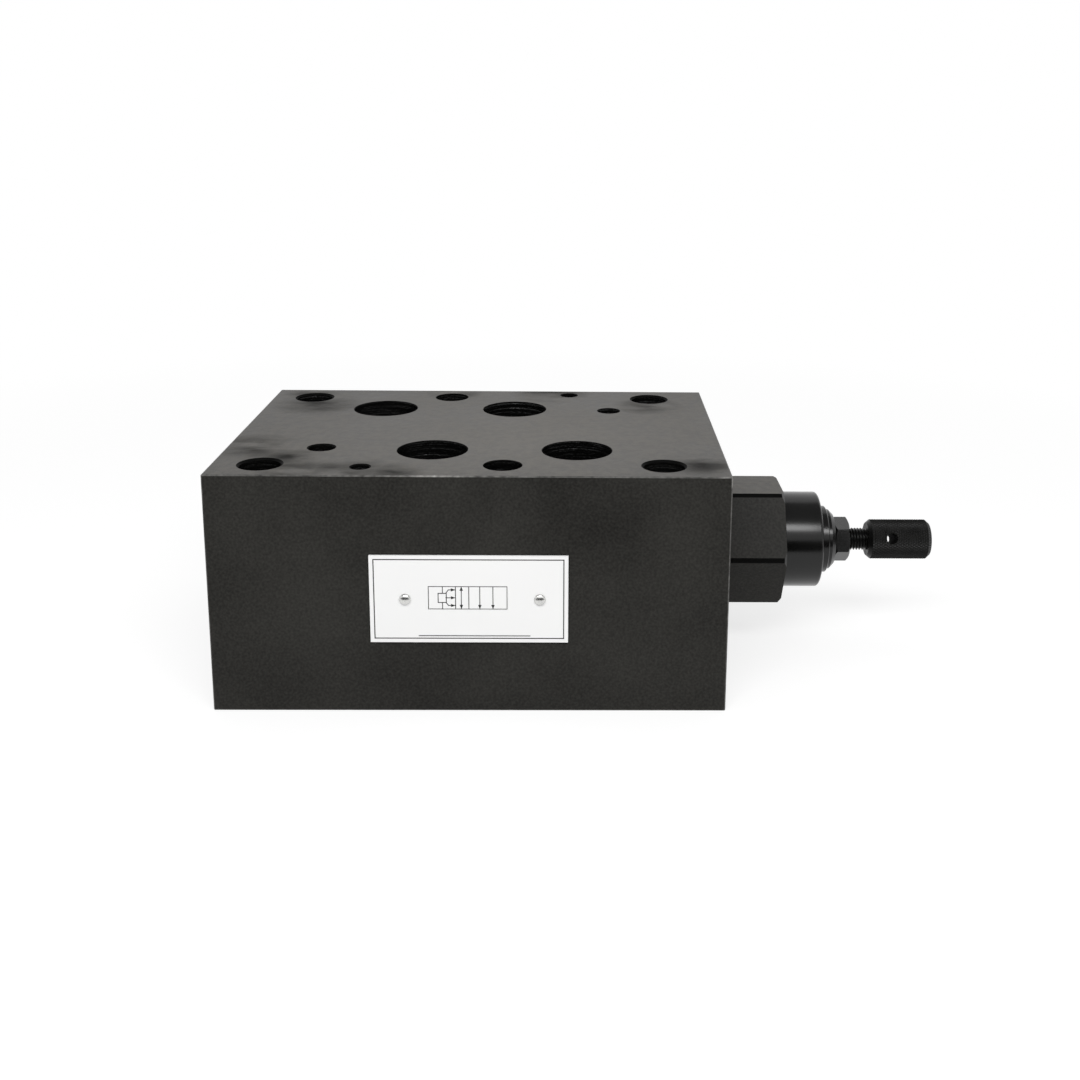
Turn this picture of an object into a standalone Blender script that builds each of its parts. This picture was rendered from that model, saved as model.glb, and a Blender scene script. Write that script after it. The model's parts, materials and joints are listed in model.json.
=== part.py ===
"""A pressure-reducing sandwich valve: a drilled steel block, its spool, and a pilot head with a hand adjuster.

Lengths are in metres and +Z is up. The origin is the centre of the block's bottom face. +X points along the main
bore to the adjuster, and +Y points from the nameplate to the back.
"""

import math

import bmesh
import bpy
from mathutils import Matrix, Vector

# Block
BLOCK_LENGTH = 0.167
BLOCK_DEPTH = 0.117
BLOCK_HEIGHT = 0.080
BLOCK_EDGE = 0.0004

# Port pattern, measured from the bolt hole in the far left corner: right, then towards the nameplate
BOLT_SPACING_X = 0.1302
BOLT_SPACING_Y = 0.0921
PATTERN_LEFT = 0.0158
PATTERN_RIGHT = 0.0210
PATTERN_FRONT = 0.0121
MIDDLE_BOLT_FAR = (0.0532, -0.0015)
MIDDLE_BOLT_NEAR = (0.0780, 0.0921)
PORT_P = (0.0785, 0.0170)
PORT_T = (0.0300, 0.0170)
PORT_A = (0.0535, 0.0740)
PORT_B = (0.1020, 0.0740)
PILOT_X = (0.0160, 0.0720)
PILOT_Y = (0.1140, 0.0190)
PIN_FAR = (0.0990, -0.0060)
PIN_NEAR = (0.0325, 0.0945)

# Holes
PORT_RADIUS = 0.01175
CORNER_BOLT_RADIUS = 0.00675
CORNER_BOLT_CHAMFER = 0.0007
MIDDLE_BOLT_RADIUS = 0.00625
PILOT_X_RADIUS = 0.0045
PILOT_Y_RADIUS = 0.0040
PIN_RADIUS = 0.0031
SMALL_CHAMFER = 0.0004
PIN_DEPTH = 0.012
PORT_P_UPPER_DEPTH = 0.036
PORT_P_LOWER_DEPTH = 0.034

# Seal recesses in the bottom face
PORT_RECESS_RADIUS = 0.0158
PORT_RECESS_DEPTH = 0.0030
PILOT_RECESS_RADIUS = 0.0076
PILOT_RECESS_DEPTH = 0.0020
SEAL_BELOW_FACE = 0.0002

# Main bore and its passages
BORE_HEIGHT = 0.039
BORE_RADIUS = 0.012
GALLERY_DEPTH = 0.0025
GALLERY_WIDTH = 0.010
GALLERY_OFFSET = 0.008
PASSAGE_RADIUS = 0.005
PASSAGE_BELOW_AXIS = 0.011
PASSAGE_ABOVE_AXIS = 0.011
PASSAGE_PLUG_RADIUS = 0.0071
PASSAGE_PLUG_DEPTH = 0.012
DRAIN_RADIUS = 0.002

# Left end plug
PLUG_THREAD_RADIUS = 0.0165
PLUG_THREAD_DEPTH = 0.018
PLUG_NOSE_LENGTH = 0.015
PLUG_BELOW_FACE = 0.0006
PLUG_SOCKET_FLATS = 0.014
PLUG_SOCKET_DEPTH = 0.009

# Spool
SPOOL_NECK_RADIUS = 0.0075
SPOOL_NECK_OVERLAP = 0.003
SPOOL_LAND_SHARE = 0.64
SPOOL_POCKET_RADIUS = 0.0086
SPOOL_POCKET_SHARE = 0.65
SPOOL_DRILL_RADIUS = 0.0022
SPOOL_CROSS_RADIUS = 0.0018
BALANCE_GROOVE_WIDTH = 0.0010
BALANCE_GROOVE_DEPTH = 0.0005
BALANCE_GROOVE_PITCH = 0.0080
BALANCE_GROOVES = 3
ORIFICE_RADIUS = 0.0005
ORIFICE_LENGTH = 0.006

# Pilot head
HEAD_THREAD_RADIUS = 0.018
HEAD_THREAD_DEPTH = 0.0215
HEAD_MOUTH_RADIUS = 0.0198
HEAD_MOUTH_DEPTH = 0.0030
HEAD_GALLERY = 0.002
HEAD_RELIEF_RADIUS = 0.016
HEAD_RELIEF_LENGTH = 0.005
HEAD_NECK_RADIUS = 0.0168
HEAD_NOSE_LENGTH = 0.012
HEAD_WASHER_RADIUS = 0.0195
HEAD_SLIT = 0.0012
HEX_FLATS = 0.041
HEX_CORNER_RADIUS = 0.02315
HEX_LENGTH = 0.0232
HEX_CHAMFER = 0.0009
CHAMBER_RADIUS = 0.008
INLET_HOLE_RADIUS = 0.004
INLET_HOLE_DEPTH = 0.002

# Pilot stage
SEAT_RADIUS = 0.0062
SEAT_LENGTH = 0.009
SEAT_ORIFICE_RADIUS = 0.0015
SEAT_ENTRY_RADIUS = 0.003
POPPET_RADIUS = 0.004
POPPET_CONE_ANGLE = math.radians(30)
POPPET_TIP_RADIUS = 0.0003
POPPET_FLANGE_RADIUS = 0.0077
POPPET_FLANGE_LENGTH = 0.0023
POPPET_FLATS = 0.0140
SPRING_GUIDE_RADIUS = 0.0035
SPRING_GUIDE_LENGTH = 0.004

# Bonnet and adjuster
BONNET_RADIUS = 0.01715
BONNET_LENGTH = 0.0137
BONNET_CHAMFER = 0.0011
BONNET_THREAD_RADIUS = 0.012
BONNET_THREAD_LENGTH = 0.0217
BOSS_RADIUS = 0.0120
BOSS_LENGTH = 0.0030
BOSS_STEP_RADIUS = 0.0108
BOSS_STEP_LENGTH = 0.0027
BOSS_CHAMFER = 0.0015
BONNET_ROOF = 0.0050
SCREW_RADIUS = 0.004
SCREW_CHAMFER = 0.0006
SCREW_SHOWING = 0.0068
NUT_FLATS = 0.014
NUT_CORNER_RADIUS = 0.00800
NUT_THICKNESS = 0.0055
NUT_CHAMFER = 0.0014
NUT_TURN = 13.5
KNOB_RADIUS = 0.00715
KNOB_LENGTH = 0.0228
KNOB_CHAMFER = 0.0012
KNOB_HOLE_RADIUS = 0.0020
KNOB_HOLE_FROM_END = 0.0083
KNOB_HOLE_TILT = math.radians(20)
PLUNGER_LENGTH = 0.012
PLUNGER_FROM_TIP = 0.0055
PLUNGER_GROOVE_FROM_FACE = 0.0045

# Springs
MAIN_SPRING_RADIUS = 0.0067
MAIN_SPRING_WIRE = 0.0016
MAIN_SPRING_TURNS = 7
PILOT_SPRING_RADIUS = 0.0050
PILOT_SPRING_WIRE = 0.0016
PILOT_SPRING_TURNS = 6

# Seals and their grooves
GROOVE_DEPTH = 0.0022
GROOVE_WIDTH = 0.0032
SEAL_GAP = 0.00015
SEAL_WIDTH = 0.0026

# Nameplate and its drive screws
PLATE_WIDTH = 0.0635
PLATE_HEIGHT = 0.0295
PLATE_THICKNESS = 0.0008
PLATE_CORNER = 0.0004
PLATE_CENTRE_X = 0.0
PLATE_CENTRE_Z = 0.0391
PLATE_SCREW_SPACING = 0.0431
PLATE_SCREW_OFFSET_X = 0.0011
PLATE_SCREW_RADIUS = 0.0011
PLATE_SCREW_LENGTH = 0.0060
PLATE_SCREW_HEAD_RADIUS = 0.0019
PLATE_SCREW_HEAD_HEIGHT = 0.0010

# Clearances
SEAT_GAP = 0.0003
SLIDE_GAP = 0.0001
THREAD_GAP = 0.0003
FINE_THREAD_GAP = 0.00015
PLATE_GAP = 0.0001
OVERCUT = 0.001

# Facets
BORE_SIDES = 32
INNER_SIDES = 24
HOLE_SIDES = 24
SMALL_SIDES = 12
SEAL_SIDES = 24
SEAL_SECTION_SIDES = 5
SPRING_SIDES_PER_TURN = 10

# Places that follow from the dimensions
LEFT_FACE = -BLOCK_LENGTH / 2
RIGHT_FACE = BLOCK_LENGTH / 2
FRONT_FACE = -BLOCK_DEPTH / 2
BACK_FACE = BLOCK_DEPTH / 2
FAR_LEFT_BOLT_X = LEFT_FACE + PATTERN_LEFT
FAR_LEFT_BOLT_Y = FRONT_FACE + PATTERN_FRONT + BOLT_SPACING_Y
GALLERY_RADIUS = BORE_RADIUS + GALLERY_DEPTH
PATTERN_STRETCH = (BLOCK_LENGTH - PATTERN_LEFT - PATTERN_RIGHT) / BOLT_SPACING_X


def pattern_place(point):
    """Turns a place in the port pattern into X and Y of the block."""
    return FAR_LEFT_BOLT_X + point[0] * PATTERN_STRETCH, FAR_LEFT_BOLT_Y - point[1]


INLET_X = pattern_place(PORT_P)[0] - GALLERY_OFFSET
OUTLET_X = pattern_place(PORT_P)[0] + GALLERY_OFFSET
PLUG_FLOOR_X = LEFT_FACE + PLUG_THREAD_DEPTH
PLUG_NOSE_X = PLUG_FLOOR_X + PLUG_NOSE_LENGTH
SPOOL_LEFT_X = PLUG_NOSE_X + SEAT_GAP
NECK_LEFT_X = INLET_X - SPOOL_NECK_OVERLAP
NECK_RIGHT_X = OUTLET_X + GALLERY_WIDTH / 2 - SPOOL_NECK_OVERLAP
HEAD_FLOOR_X = RIGHT_FACE - HEAD_THREAD_DEPTH
HEAD_SHOULDER_X = HEAD_FLOOR_X + HEAD_GALLERY
HEAD_NOSE_X = HEAD_SHOULDER_X - HEAD_NOSE_LENGTH
SPOOL_RIGHT_LAND = SPOOL_LAND_SHARE * (HEAD_NOSE_X - NECK_RIGHT_X)
SPOOL_RIGHT_X = NECK_RIGHT_X + SPOOL_RIGHT_LAND
SPOOL_POCKET_DEPTH = SPOOL_POCKET_SHARE * SPOOL_RIGHT_LAND
HEX_LEFT_X = RIGHT_FACE + HEAD_SLIT
HEX_RIGHT_X = HEX_LEFT_X + HEX_LENGTH
SEAT_LEFT_X = HEAD_NOSE_X + INLET_HOLE_DEPTH + SEAT_GAP
SEAT_RIGHT_X = SEAT_LEFT_X + SEAT_LENGTH
BONNET_TIP_X = HEX_RIGHT_X + SEAT_GAP - BONNET_THREAD_LENGTH
BONNET_RIGHT_X = HEX_RIGHT_X + SEAT_GAP + BONNET_LENGTH
BOSS_END_X = BONNET_RIGHT_X + BOSS_LENGTH + BOSS_STEP_LENGTH
NUT_LEFT_X = BOSS_END_X + SEAT_GAP
KNOB_LEFT_X = NUT_LEFT_X + NUT_THICKNESS + SCREW_SHOWING
PLUNGER_LEFT_X = BONNET_TIP_X + PLUNGER_FROM_TIP
SCREW_TIP_X = PLUNGER_LEFT_X + PLUNGER_LENGTH + SEAT_GAP


def surface(name, colour, roughness, metallic):
    """A Principled material."""
    material = bpy.data.materials.new(name)
    material.use_nodes = True
    shader = material.node_tree.nodes["Principled BSDF"]
    shader.inputs["Base Color"].default_value = (*colour, 1)
    shader.inputs["Roughness"].default_value = roughness
    shader.inputs["Metallic"].default_value = metallic
    material.diffuse_color = (*colour, 1)
    return material


def add_object(name, mesh, material, location=(0, 0, 0)):
    """Adds a mesh to the scene as one named piece."""
    piece = bpy.data.objects.new(name, mesh)
    piece.location = location
    bpy.context.scene.collection.objects.link(piece)
    if material:
        mesh.materials.append(material)
    return piece


def shaded(shape, name):
    """Turns a bmesh into a mesh with its normals outward and its round faces smooth."""
    bmesh.ops.recalc_face_normals(shape, faces=shape.faces[:])
    mesh = bpy.data.meshes.new(name)
    shape.to_mesh(mesh)
    shape.free()
    mesh.shade_smooth()
    mesh.set_sharp_from_angle(angle=math.radians(35))
    return mesh


def as_cutter(piece):
    """Hides an object that only shapes others."""
    piece.hide_render = True
    piece.display_type = "WIRE"
    return piece


def turned(name, outline, axis, material=None, location=(0, 0, 0), sides=BORE_SIDES, hollow=False):
    """Spins an outline of (along, radius) points about an axis. A hollow outline closes on itself."""
    directions = {"X": Vector((1, 0, 0)), "Y": Vector((0, 1, 0)), "Z": Vector((0, 0, 1))}
    along = directions[axis]
    outward = directions["X" if axis == "Z" else "Z"]
    shape = bmesh.new()
    points = list(outline)
    if not hollow:
        points = [(points[0][0], 0.0)] + points + [(points[-1][0], 0.0)]
    vertices = [shape.verts.new(along * distance + outward * radius) for distance, radius in points]
    for first, second in zip(vertices, vertices[1:]):
        shape.edges.new((first, second))
    if hollow:
        shape.edges.new((vertices[-1], vertices[0]))
    geometry = shape.verts[:] + shape.edges[:]
    bmesh.ops.spin(shape, geom=geometry, cent=(0, 0, 0), axis=along, angle=2 * math.pi, steps=sides, use_merge=True)
    bmesh.ops.remove_doubles(shape, verts=shape.verts[:], dist=1e-7)
    return add_object(name, shaded(shape, name), material, location)


def drill(name, start, end, radius, sides=HOLE_SIDES):
    """A round cutter from one point to another."""
    start = Vector(start)
    end = Vector(end)
    reach = end - start
    shape = bmesh.new()
    turn = reach.to_track_quat("Z", "X").to_matrix().to_4x4()
    place = Matrix.Translation(start + reach / 2) @ turn
    bmesh.ops.create_cone(
        shape,
        cap_ends=True,
        segments=sides,
        radius1=radius,
        radius2=radius,
        depth=reach.length,
        matrix=place,
    )
    return as_cutter(add_object(name, shaded(shape, name), None))


def hexagon(name, across_flats, start_x, end_x, corner_angle):
    """A hexagonal prism along the bore's axis, with its first corner turned away from +Z."""
    shape = bmesh.new()
    place = Matrix.Translation((start_x, 0, 0))
    corners = []
    for corner in range(6):
        angle = corner_angle + math.radians(60 * corner)
        radius = across_flats / 2 / math.cos(math.radians(30))
        corners.append(shape.verts.new(place @ Vector((0, radius * math.sin(angle), radius * math.cos(angle)))))
    base = shape.faces.new(corners)
    sides = bmesh.ops.extrude_face_region(shape, geom=[base])
    moved = [item for item in sides["geom"] if isinstance(item, bmesh.types.BMVert)]
    bmesh.ops.translate(shape, verts=moved, vec=(end_x - start_x, 0, 0))
    return as_cutter(add_object(name, shaded(shape, name), None, (0, 0, BORE_HEIGHT)))


def shape_with(piece, tools, operation="DIFFERENCE"):
    """Cuts a piece with its tools, one Boolean for each."""
    for tool in tools:
        boolean = piece.modifiers.new(tool.name, "BOOLEAN")
        boolean.operation = operation
        boolean.solver = "EXACT"
        boolean.object = tool


def vertical_hole(name, point, radius, low, high, chamfer=0.0, recess=None):
    """A hole cutter from low to high, chamfered where it opens on the top face, with a recess below if given."""
    outline = []
    if recess:
        recess_radius, recess_depth = recess
        outline += [(low, recess_radius), (recess_depth, recess_radius), (recess_depth, radius)]
    else:
        outline += [(low, radius)]
    if chamfer:
        outline += [(BLOCK_HEIGHT - chamfer, radius), (high, radius + chamfer + high - BLOCK_HEIGHT)]
    else:
        outline += [(high, radius)]
    x, y = pattern_place(point)
    sides = BORE_SIDES if radius > CORNER_BOLT_RADIUS else HOLE_SIDES if radius > PILOT_Y_RADIUS else SMALL_SIDES
    return as_cutter(turned(name, outline, "Z", location=(x, y, 0), sides=sides))


def port_cutters():
    """The four main ports. P is blind from both sides, because the spool stands between its two halves."""
    above = BLOCK_HEIGHT + OVERCUT
    recess = (PORT_RECESS_RADIUS, PORT_RECESS_DEPTH)
    through = {"T": PORT_T, "A": PORT_A, "B": PORT_B}
    cutters = [
        vertical_hole(f"cut_port_{letter}", point, PORT_RADIUS, -OVERCUT, above, recess=recess)
        for letter, point in through.items()
    ]
    cutters.append(
        vertical_hole("cut_port_P_lower", PORT_P, PORT_RADIUS, -OVERCUT, PORT_P_LOWER_DEPTH, recess=recess)
    )
    upper_floor = BLOCK_HEIGHT - PORT_P_UPPER_DEPTH
    cutters.append(vertical_hole("cut_port_P_upper", PORT_P, PORT_RADIUS, upper_floor, above))
    return cutters


def bolt_and_pin_cutters():
    """Six bolt holes and two pilot ports right through, and two pin holes in each face."""
    above = BLOCK_HEIGHT + OVERCUT
    cutters = []
    for column in (0, 1):
        for row in (0, 1):
            corner = (column * BOLT_SPACING_X, row * BOLT_SPACING_Y)
            name = f"cut_corner_bolt_{column}{row}"
            cutters.append(
                vertical_hole(name, corner, CORNER_BOLT_RADIUS, -OVERCUT, above, CORNER_BOLT_CHAMFER)
            )
    for name, point in (("far", MIDDLE_BOLT_FAR), ("near", MIDDLE_BOLT_NEAR)):
        cutters.append(vertical_hole(f"cut_middle_bolt_{name}", point, MIDDLE_BOLT_RADIUS, -OVERCUT, above))
    recess = (PILOT_RECESS_RADIUS, PILOT_RECESS_DEPTH)
    for name, point, radius in (("X", PILOT_X, PILOT_X_RADIUS), ("Y", PILOT_Y, PILOT_Y_RADIUS)):
        cutters.append(
            vertical_hole(f"cut_pilot_{name}", point, radius, -OVERCUT, above, SMALL_CHAMFER, recess)
        )
    for name, point in (("far", PIN_FAR), ("near", PIN_NEAR)):
        floor = BLOCK_HEIGHT - PIN_DEPTH
        cutters.append(vertical_hole(f"cut_pin_{name}_top", point, PIN_RADIUS, floor, above, SMALL_CHAMFER))
        cutters.append(vertical_hole(f"cut_pin_{name}_bottom", point, PIN_RADIUS, -OVERCUT, PIN_DEPTH))
    return cutters


def main_bore_cutter():
    """The bore from end to end: left plug thread, two galleries, pilot head thread and its mouth."""
    half = GALLERY_WIDTH / 2
    outline = [
        (LEFT_FACE - OVERCUT, PLUG_THREAD_RADIUS),
        (PLUG_FLOOR_X, PLUG_THREAD_RADIUS),
        (PLUG_FLOOR_X, BORE_RADIUS),
    ]
    for centre in (INLET_X, OUTLET_X):
        outline += [
            (centre - half, BORE_RADIUS),
            (centre - half, GALLERY_RADIUS),
            (centre + half, GALLERY_RADIUS),
            (centre + half, BORE_RADIUS),
        ]
    outline += [
        (HEAD_FLOOR_X, BORE_RADIUS),
        (HEAD_FLOOR_X, HEAD_THREAD_RADIUS),
        (RIGHT_FACE - HEAD_MOUTH_DEPTH, HEAD_THREAD_RADIUS),
        (RIGHT_FACE - HEAD_MOUTH_DEPTH, HEAD_MOUTH_RADIUS),
        (RIGHT_FACE + OVERCUT, HEAD_MOUTH_RADIUS),
    ]
    return as_cutter(turned("cut_main_bore", outline, "X", location=(0, 0, BORE_HEIGHT)))


def passage_places():
    """The two cross drillings: name, X and Z."""
    return (
        ("inlet", INLET_X, BORE_HEIGHT - PASSAGE_BELOW_AXIS),
        ("outlet", OUTLET_X, BORE_HEIGHT + PASSAGE_ABOVE_AXIS),
    )


def passage_cutters():
    """Cross drillings from the back face through each half of P into its gallery, and the angled pilot drain."""
    cutters = []
    for name, x, z in passage_places():
        outline = [
            (0.0, PASSAGE_RADIUS),
            (BACK_FACE - PASSAGE_PLUG_DEPTH, PASSAGE_RADIUS),
            (BACK_FACE - PASSAGE_PLUG_DEPTH, PASSAGE_PLUG_RADIUS),
            (BACK_FACE + OVERCUT, PASSAGE_PLUG_RADIUS),
        ]
        cutter = turned(f"cut_{name}_passage", outline, "Y", location=(x, 0, z), sides=HOLE_SIDES)
        cutters.append(as_cutter(cutter))
    pilot_x, pilot_y = pattern_place(PILOT_Y)
    mouth = Vector((HEAD_FLOOR_X, (BORE_RADIUS + HEAD_THREAD_RADIUS) / 2, BORE_HEIGHT))
    pilot = Vector((pilot_x, pilot_y, BORE_HEIGHT))
    back = (mouth - pilot).normalized() * OVERCUT
    cutters.append(drill("cut_pilot_drain", mouth + back, pilot, DRAIN_RADIUS, SMALL_SIDES))
    return cutters


def plate_screw_places():
    """X of the two drive screws."""
    centre = PLATE_CENTRE_X + PLATE_SCREW_OFFSET_X
    return {
        "left": centre - PLATE_SCREW_SPACING / 2,
        "right": centre + PLATE_SCREW_SPACING / 2,
    }


def plate_screw_cutters(name, start_y, end_y, gap):
    """Holes for the two drive screws."""
    radius = PLATE_SCREW_RADIUS + gap
    return [
        drill(f"cut_{name}_{side}", (x, start_y, PLATE_CENTRE_Z), (x, end_y, PLATE_CENTRE_Z), radius, SMALL_SIDES)
        for side, x in plate_screw_places().items()
    ]


def make_block(material):
    shape = bmesh.new()
    bmesh.ops.create_cube(shape, size=1)
    bmesh.ops.scale(shape, vec=(BLOCK_LENGTH, BLOCK_DEPTH, BLOCK_HEIGHT), verts=shape.verts[:])
    bmesh.ops.translate(shape, vec=(0, 0, BLOCK_HEIGHT / 2), verts=shape.verts[:])
    block = add_object("valve_body", shaded(shape, "valve_body"), material)
    edges = block.modifiers.new("worn_edges", "BEVEL")
    edges.width = BLOCK_EDGE
    edges.segments = 1
    edges.limit_method = "ANGLE"
    screw_holes = plate_screw_cutters(
        "plate_screw", FRONT_FACE - OVERCUT, FRONT_FACE + PLATE_SCREW_LENGTH + SEAT_GAP, SLIDE_GAP
    )
    shape_with(block, port_cutters() + bolt_and_pin_cutters())
    shape_with(block, [main_bore_cutter()] + passage_cutters() + screw_holes)


def seal_ring(name, material, axis, centre, inner, outer, width, along=0.0):
    """A round-section seal, pressed to the space between an inner and an outer radius."""
    middle = (inner + outer) / 2
    half = (outer - inner) / 2
    outline = []
    for step in range(SEAL_SECTION_SIDES):
        angle = 2 * math.pi * step / SEAL_SECTION_SIDES
        outline.append((along + width / 2 * math.sin(angle), middle + half * math.cos(angle)))
    turned(name, outline, axis, material, centre, SEAL_SIDES, hollow=True)


def grooved(outline_start, groove_x, radius, depth=GROOVE_DEPTH):
    """Extends an outline with a seal groove whose left side is at groove_x."""
    return outline_start + [
        (groove_x, radius),
        (groove_x, radius - depth),
        (groove_x + GROOVE_WIDTH, radius - depth),
        (groove_x + GROOVE_WIDTH, radius),
    ]


def make_bore_plug(steel, rubber):
    """The plug in the left end. Its long nose is the spool's stop."""
    nose = BORE_RADIUS - THREAD_GAP
    thread = PLUG_THREAD_RADIUS - THREAD_GAP
    start = LEFT_FACE + PLUG_BELOW_FACE
    shoulder = PLUG_FLOOR_X - SEAT_GAP
    groove = shoulder + (PLUG_NOSE_LENGTH - GROOVE_WIDTH) / 2
    outline = [
        (start, thread - SMALL_CHAMFER),
        (start + SMALL_CHAMFER, thread),
        (shoulder, thread),
        (shoulder, nose),
    ]
    outline = grooved(outline, groove, nose)
    outline += [(PLUG_NOSE_X - SMALL_CHAMFER, nose), (PLUG_NOSE_X, nose - SMALL_CHAMFER)]
    plug = turned("bore_plug", outline, "X", steel, (0, 0, BORE_HEIGHT))
    socket = hexagon("cut_plug_socket", PLUG_SOCKET_FLATS, start - OVERCUT, start + PLUG_SOCKET_DEPTH, 0)
    shape_with(plug, [socket])
    seal_ring(
        "bore_plug_seal",
        rubber,
        "X",
        (0, 0, BORE_HEIGHT),
        nose - GROOVE_DEPTH + SEAL_GAP,
        BORE_RADIUS - SEAL_GAP,
        SEAL_WIDTH,
        groove + GROOVE_WIDTH / 2,
    )


def make_spool(steel, brass):
    """The reducing spool: two lands, a neck between the galleries, and drillings to its left end."""
    land = BORE_RADIUS - SLIDE_GAP
    outline = [(0.0, land - SMALL_CHAMFER), (SMALL_CHAMFER, land)]
    for groove in range(BALANCE_GROOVES):
        left = BALANCE_GROOVE_PITCH * (groove + 1)
        right = left + BALANCE_GROOVE_WIDTH
        bottom = land - BALANCE_GROOVE_DEPTH
        outline += [(left, land), (left, bottom), (right, bottom), (right, land)]
    neck_left = NECK_LEFT_X - SPOOL_LEFT_X
    neck_right = NECK_RIGHT_X - SPOOL_LEFT_X
    length = SPOOL_RIGHT_X - SPOOL_LEFT_X
    outline += [
        (neck_left, land),
        (neck_left, SPOOL_NECK_RADIUS),
        (neck_right, SPOOL_NECK_RADIUS),
        (neck_right, land),
        (length - SMALL_CHAMFER, land),
        (length, land - SMALL_CHAMFER),
        (length, SPOOL_POCKET_RADIUS),
        (length - SPOOL_POCKET_DEPTH, SPOOL_POCKET_RADIUS),
        (length - SPOOL_POCKET_DEPTH, SPOOL_DRILL_RADIUS),
        (0.0, SPOOL_DRILL_RADIUS),
    ]
    spool = turned("main_spool", outline, "X", steel, (SPOOL_LEFT_X, 0, BORE_HEIGHT), INNER_SIDES, True)
    cross_x = (NECK_LEFT_X + NECK_RIGHT_X) / 2 - GALLERY_WIDTH / 4
    reach = SPOOL_NECK_RADIUS + OVERCUT
    cross = drill(
        "cut_spool_cross",
        (cross_x, 0, BORE_HEIGHT - reach),
        (cross_x, 0, BORE_HEIGHT + reach),
        SPOOL_CROSS_RADIUS,
        SMALL_SIDES,
    )
    shape_with(spool, [cross])
    orifice_right = length - SPOOL_POCKET_DEPTH - SEAT_GAP
    outer = SPOOL_DRILL_RADIUS - SLIDE_GAP
    orifice = [
        (orifice_right - ORIFICE_LENGTH, ORIFICE_RADIUS),
        (orifice_right - ORIFICE_LENGTH, outer),
        (orifice_right, outer),
        (orifice_right, ORIFICE_RADIUS),
    ]
    place = (SPOOL_LEFT_X, 0, BORE_HEIGHT)
    turned("spool_orifice", orifice, "X", brass, place, SMALL_SIDES, hollow=True)


def make_spring(name, material, left_x, right_x, radius, wire, turns):
    """A compression spring between two seats, with one closed turn at each end."""
    closed_rise = wire + SLIDE_GAP
    start = left_x + SEAT_GAP + wire / 2
    end = right_x - SEAT_GAP - wire / 2
    open_rise = (end - start - 2 * closed_rise) / (turns - 2)
    data = bpy.data.curves.new(name, "CURVE")
    data.dimensions = "3D"
    data.bevel_depth = wire / 2
    data.bevel_resolution = 0
    data.use_fill_caps = True
    spline = data.splines.new("POLY")
    count = turns * SPRING_SIDES_PER_TURN + 1
    spline.points.add(count - 1)
    for index, point in enumerate(spline.points):
        turn = index / SPRING_SIDES_PER_TURN
        opened = min(max(turn - 1, 0), turns - 2)
        closed = turn - opened
        angle = 2 * math.pi * turn
        along = start + closed * closed_rise + opened * open_rise
        point.co = (along - left_x, radius * math.sin(angle), radius * math.cos(angle), 1)
    data.materials.append(material)
    spring = bpy.data.objects.new(name, data)
    spring.location = (left_x, 0, BORE_HEIGHT)
    bpy.context.scene.collection.objects.link(spring)


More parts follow.
